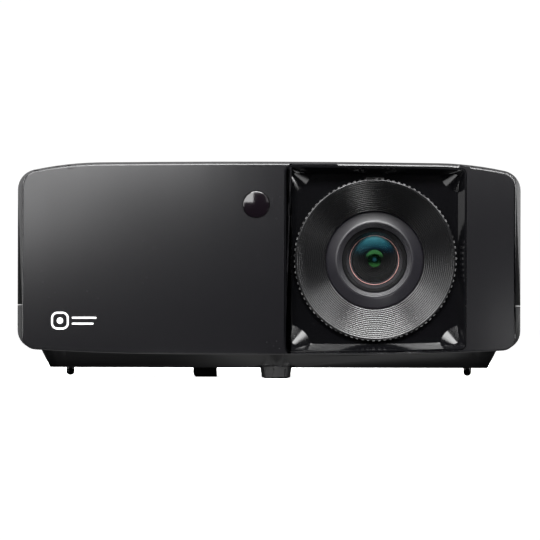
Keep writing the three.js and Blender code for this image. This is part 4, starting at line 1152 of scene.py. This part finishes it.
class PROJECTOR_OT_keypad(bpy.types.Operator):
    """Makes the keypad plate, the keys with their signs, and the status light"""

    bl_idname = "projector.keypad"
    bl_label = "Keypad"

    def execute(self, context):
        refined("keypad_plate", "keypad_face", plastic("case_plastic"), 0.3 * MM, 2)
        refined("status_light_pipe", "status_light", plastic("frosted_pipe"), 0.2 * MM, 2)
        for node, kind in KEY_SIGNS.items():
            low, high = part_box(node)
            centre, size = middle(node)
            flange = size.x / 2
            cap = flange - 1.0 * MM
            profile = [
                (0, low.z),
                (flange, low.z),
                (flange, low.z + 1.5 * MM),
                (cap, low.z + 1.5 * MM),
                (cap, high.z - 0.5 * MM),
                (cap - 0.15 * MM, high.z - 0.15 * MM),
                (cap - 0.5 * MM, high.z),
                (cap * 0.55, high.z - 0.12 * MM),
                (0, high.z - 0.2 * MM),
            ]
            place = (centre.x, centre.y)
            name = node.replace("_button", "_key")
            piece = spun(name, profile, plastic("key_plastic"), 48, "Z", place, False)
            stand_for(piece, node)
            mark = sign(f"{name}_sign", kind, place, high.z - 0.16 * MM)
            rides_on(mark, FRAME["nodes"][node]["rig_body"])
        return {"FINISHED"}


class PROJECTOR_OT_grilles(bpy.types.Operator):
    """Makes the side grilles with softened slats"""

    bl_idname = "projector.grilles"
    bl_label = "Side grilles"

    def execute(self, context):
        refined("left_grille", "grille_left", plastic("case_plastic"), 0.15 * MM, 1)
        refined("right_grille", "grille_right", plastic("case_plastic"), 0.15 * MM, 1)
        return {"FINISHED"}


class PROJECTOR_OT_rear(bpy.types.Operator):
    """Makes the rear panel, its sockets and the print beside them"""

    bl_idname = "projector.rear"
    bl_label = "Rear panel and sockets"

    def execute(self, context):
        refined("rear_panel", "socket_panel", plastic("case_plastic"))
        refined("mains_inlet", "mains_socket", plastic("port_black"), 0.3 * MM, 2)
        refined("audio_jack", "audio_socket", plastic("port_black"), 0.15 * MM, 1)
        refined("serial_port", "serial_socket", metal("nickel"), 0.2 * MM, 1)
        for node in ("hdmi_port_1", "hdmi_port_2", "usb_port"):
            refined(node, f"{node}_shell", metal("nickel"), 0.2 * MM, 2)
            low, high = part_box(node)
            centre, size = middle(node)
            tongue = block(
                f"{node}_tongue",
                (centre.x - size.x * 0.32, low.y + 2.0 * MM, centre.z - 0.6 * MM),
                (centre.x + size.x * 0.32, high.y - 3.0 * MM, centre.z + 0.6 * MM),
                plastic("port_black"),
                0.2 * MM,
            )
            rides_on(tongue, "housing")
        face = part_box("rear_panel")[1].y
        strips = []
        for node in ("hdmi_port_1", "hdmi_port_2", "usb_port", "audio_jack", "serial_port"):
            centre, size = middle(node)
            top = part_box(node)[1].z + 2.6 * MM
            half = max(2.0 * MM, size.x * 0.3)
            low = (centre.x - half, face - 0.02 * MM, top)
            high = (centre.x + half, face + 0.06 * MM, top + 0.9 * MM)
            strips.append(block(f"{node}_print", low, high, plastic("grey_print"), 0.03 * MM, 1))
        prints = joined("socket_print", strips)
        rides_on(prints, "housing")
        return {"FINISHED"}


def flat_shape(name, centre, size, corner, line=0.0):
    """A flat printed rectangle with round corners, filled or as an outline."""
    clear_selection()
    place = (centre[0], PANEL_LOW.y - MM, centre[1])
    bpy.ops.mesh.primitive_plane_add(size=1, location=place, rotation=(math.radians(90), 0, 0))
    shape = named(name, plastic("white_print"))
    shape.scale = (size[0], size[1], 1)
    settle(shape)
    editing(shape, "VERT")
    bpy.ops.mesh.select_all(action="SELECT")
    bpy.ops.mesh.bevel(offset=corner, segments=8, affect="VERTICES")
    if line:
        bpy.ops.mesh.select_mode(type="FACE")
        bpy.ops.mesh.select_all(action="SELECT")
        bpy.ops.mesh.inset(thickness=line)
        bpy.ops.mesh.delete(type="FACE")
    done_editing()
    return shape


class PROJECTOR_OT_mark(bpy.types.Operator):
    """Prints a plain round mark and two bars on the front panel"""

    bl_idname = "projector.mark"
    bl_label = "Printed mark"

    def execute(self, context):
        x, z = PANEL_LOW.x + MARK_PLACE[0], FRONT_FOOT_LOW.z + MARK_PLACE[1]
        shapes = [
            flat_shape("mark_outline", (x, z), (9.6 * MM, 9.6 * MM), 3.4 * MM, 1.0 * MM),
            flat_shape("mark_dot", (x, z), (3.4 * MM, 3.4 * MM), 1.69 * MM),
            flat_shape("mark_bar_long", (x + 13.2 * MM, z + 1.6 * MM), (13.4 * MM, 1.0 * MM), 0.49 * MM),
            flat_shape("mark_bar_short", (x + 12.4 * MM, z - 1.6 * MM), (11.8 * MM, 1.0 * MM), 0.49 * MM),
        ]
        mark = joined("printed_mark", shapes)
        wrap = mark.modifiers.new("wrap", "SHRINKWRAP")
        wrap.target = bpy.data.objects["front_shell"]
        wrap.wrap_method = "PROJECT"
        wrap.use_project_y = True
        wrap.use_project_x = wrap.use_project_z = False
        wrap.use_positive_direction = True
        wrap.offset = 0.03 * MM
        bpy.ops.object.modifier_apply(modifier=wrap.name)
        ink = mark.modifiers.new("ink", "SOLIDIFY")
        ink.thickness = 0.05 * MM
        bpy.ops.object.modifier_apply(modifier=ink.name)
        mend(mark)
        rides_on(mark, "housing")
        return {"FINISHED"}


class PROJECTOR_OT_inside(bpy.types.Operator):
    """Gives the screws and the parts inside the case their finishes"""

    bl_idname = "projector.inside"
    bl_label = "Screws and inner parts"

    def execute(self, context):
        finishes = {
            "steel": metal("zinc_steel"),
            "brass": metal("machined_brass"),
            "aluminium": metal("cast_aluminium"),
            "board": circuit_board(),
            "fan": plastic("port_black"),
            "ribbon": flat_cable(),
            "phosphor": phosphor_coat(),
            "port_steel": metal("nickel"),
            "port_plastic": plastic("port_black"),
            "case": plastic("case_plastic"),
        }
        slots = {s["node"]: s["material_slot"] for s in FRAME["record"]["subparts"]}
        for name, node in FRAME["nodes"].items():
            if node.hide_render:
                continue
            finish = finishes[slots[name]]
            node.data.materials.clear()
            node.data.materials.append(finish)
        return {"FINISHED"}


# ---------------------------------------------------------------- stage

FLOOR_SIZE = 12.0
FLOOR_DROP = 0.02 * MM
WHITE_LEVEL = 1.02
SENSOR_WIDTH = 36.0
FAR_CLIP = 50.0
AIM = Vector((0.5 * MM, PANEL_LOW.y, 59.15 * MM))
# name, middle, what it faces, width, height, power in watts
LIGHTS = (
    ("key", (-0.10, -0.50, 0.185), (-0.05, -0.1, 0.07), 0.12, 0.12, 0.44),
    ("key_left", (-0.22, -0.50, 0.13), (-0.05, -0.1, 0.07), 0.12, 0.12, 0.22),
    ("key_right", (0.17, -0.50, 0.19), (0.0, -0.1, 0.07), 0.12, 0.12, 0.07),
    ("key_near", (-0.15, -0.33, 0.13), (-0.05, -0.1, 0.07), 0.10, 0.10, 0.06),
    ("fill_low", (0.18, -0.45, 0.02), (0.1, -0.1, 0.05), 0.04, 0.03, 0.018),
    ("over_front", (0.05, -0.90, 0.70), (0.05, -0.1, 0.06), 0.6, 0.25, 22.0),
    ("over_wide", (0.05, -0.95, 0.44), (0.05, -0.1, 0.06), 0.75, 0.10, 0.9),
    ("over_edge", (0.0, -0.16, 0.50), (0.0, -0.12, 0.06), 1.0, 0.16, 10.0),
    ("petal_left", (-0.34, -0.40, 0.42), (0.1, -0.1, 0.03), 0.25, 0.25, 2.4),
    ("petal_right", (0.46, -0.40, 0.42), (0.02, -0.1, 0.03), 0.25, 0.25, 2.4),
    ("left_strip", (-0.60, -0.14, 0.17), (-0.13, -0.1, 0.06), 0.10, 0.4, 2.6),
    ("right_strip", (0.60, -0.14, 0.17), (0.13, -0.1, 0.06), 0.10, 0.4, 2.6),
    ("under_edge", (0.0, -0.108, 0.001), (0.0, -0.108, 0.2), 0.5, 0.02, 0.03),
    ("card_left", (-0.04, -0.157, 0.001), (-0.04, -0.157, 0.2), 0.07, 0.03, 0.018),
    ("card_right", (0.20, -0.157, 0.001), (0.20, -0.157, 0.2), 0.10, 0.03, 0.026),
    ("card_middle", (0.074, -0.157, 0.001), (0.074, -0.157, 0.2), 0.014, 0.03, 0.026),
    ("back_left", (0.45, 0.70, 0.30), (0.0, 0.1, 0.06), 0.5, 0.3, 12.0),
    ("back_right", (-0.45, 0.70, 0.22), (0.0, 0.1, 0.06), 0.5, 0.3, 8.0),
)


class PROJECTOR_OT_stage(bpy.types.Operator):
    """Makes the floor, the lights and the camera"""

    bl_idname = "projector.stage"
    bl_label = "Stage"

    def execute(self, context):
        scene = context.scene
        stage = scene.projector_stage
        clear_selection()
        bpy.ops.mesh.primitive_plane_add(size=FLOOR_SIZE, location=(0, 0, -FLOOR_DROP))

        def paper(g):
            grain = g.noise(g.place(), 90.0, 4.0)
            return {"Base Color": g.blend(grain, (0.86, 0.86, 0.86), (0.9, 0.9, 0.9))}

        floor = named("floor", material("pale_floor", paper, Roughness=0.9))
        surface = floor.data.materials[0].node_tree.nodes["Principled BSDF"]
        surface.inputs["Emission Color"].default_value = (1, 1, 1, 1)
        surface.inputs["Emission Strength"].default_value = WHITE_LEVEL
        settle(floor)
        floor.visible_glossy = floor.visible_diffuse = False

        world = bpy.data.worlds.new("studio")
        scene.world = world
        world.use_nodes = True
        backdrop = world.node_tree.nodes["Background"]
        backdrop.inputs["Color"].default_value = (1, 1, 1, 1)
        backdrop.inputs["Strength"].default_value = WHITE_LEVEL
        world.cycles_visibility.glossy = world.cycles_visibility.diffuse = False
        scene.view_settings.view_transform = "Standard"

        for name, spot, target, width, height, power in LIGHTS:
            lamp = bpy.data.lights.new(name, "AREA")
            lamp.shape = "RECTANGLE"
            lamp.size, lamp.size_y = width, height
            lamp.energy = power
            holder = bpy.data.objects.new(name, lamp)
            scene.collection.objects.link(holder)
            holder.location = spot
            aim = Vector(target) - Vector(spot)
            holder.rotation_euler = aim.to_track_quat("-Z", "Y").to_euler()
            holder.visible_camera = False

        lens = bpy.data.cameras.new("camera")
        camera = bpy.data.objects.new("camera", lens)
        scene.collection.objects.link(camera)
        eye = Vector((AIM.x, AIM.y - stage.distance, stage.height))
        turn = (AIM - eye).to_track_quat("-Z", "Y")
        roll = Matrix.Rotation(stage.roll, 4, "Z")
        camera.matrix_world = Matrix.Translation(eye) @ turn.to_matrix().to_4x4() @ roll
        lens.sensor_width = SENSOR_WIDTH
        lens.lens = SENSOR_WIDTH * stage.distance / stage.frame_width
        lens.clip_end = FAR_CLIP
        scene.camera = camera
        return {"FINISHED"}


class PROJECTOR_PT_sidebar(bpy.types.Panel):
    """Lists the pieces of the projector"""

    bl_idname = "PROJECTOR_PT_sidebar"
    bl_label = "Projector"
    bl_space_type = "VIEW_3D"
    bl_region_type = "UI"
    bl_category = "Projector"

    def draw(self, context):
        for group in (context.scene.projector_look, context.scene.projector_stage):
            for name in group.bl_rna.properties.keys():
                if name not in {"rna_type", "name"}:
                    self.layout.prop(group, name)
        for operator in OPERATORS:
            self.layout.operator(operator.bl_idname)


OPERATORS = (
    PROJECTOR_OT_stage,
    PROJECTOR_OT_case,
    PROJECTOR_OT_front_panel,
    PROJECTOR_OT_hood,
    PROJECTOR_OT_window,
    PROJECTOR_OT_focus_ring,
    PROJECTOR_OT_lens_cell,
    PROJECTOR_OT_glass,
    PROJECTOR_OT_feet,
    PROJECTOR_OT_keypad,
    PROJECTOR_OT_grilles,
    PROJECTOR_OT_rear,
    PROJECTOR_OT_mark,
    PROJECTOR_OT_inside,
)
CLASSES = (ProjectorLook, ProjectorStage, *OPERATORS, PROJECTOR_PT_sidebar)


def register():
    for cls in CLASSES:
        bpy.utils.register_class(cls)
    bpy.types.Scene.projector_look = bpy.props.PointerProperty(type=ProjectorLook)
    bpy.types.Scene.projector_stage = bpy.props.PointerProperty(type=ProjectorStage)


def unregister():
    del bpy.types.Scene.projector_stage
    del bpy.types.Scene.projector_look
    for cls in reversed(CLASSES):
        bpy.utils.unregister_class(cls)


def main():
    register()
    for operator in OPERATORS:
        group, name = operator.bl_idname.split(".")
        getattr(getattr(bpy.ops, group), name)()


if __name__ == "__main__":
    main()
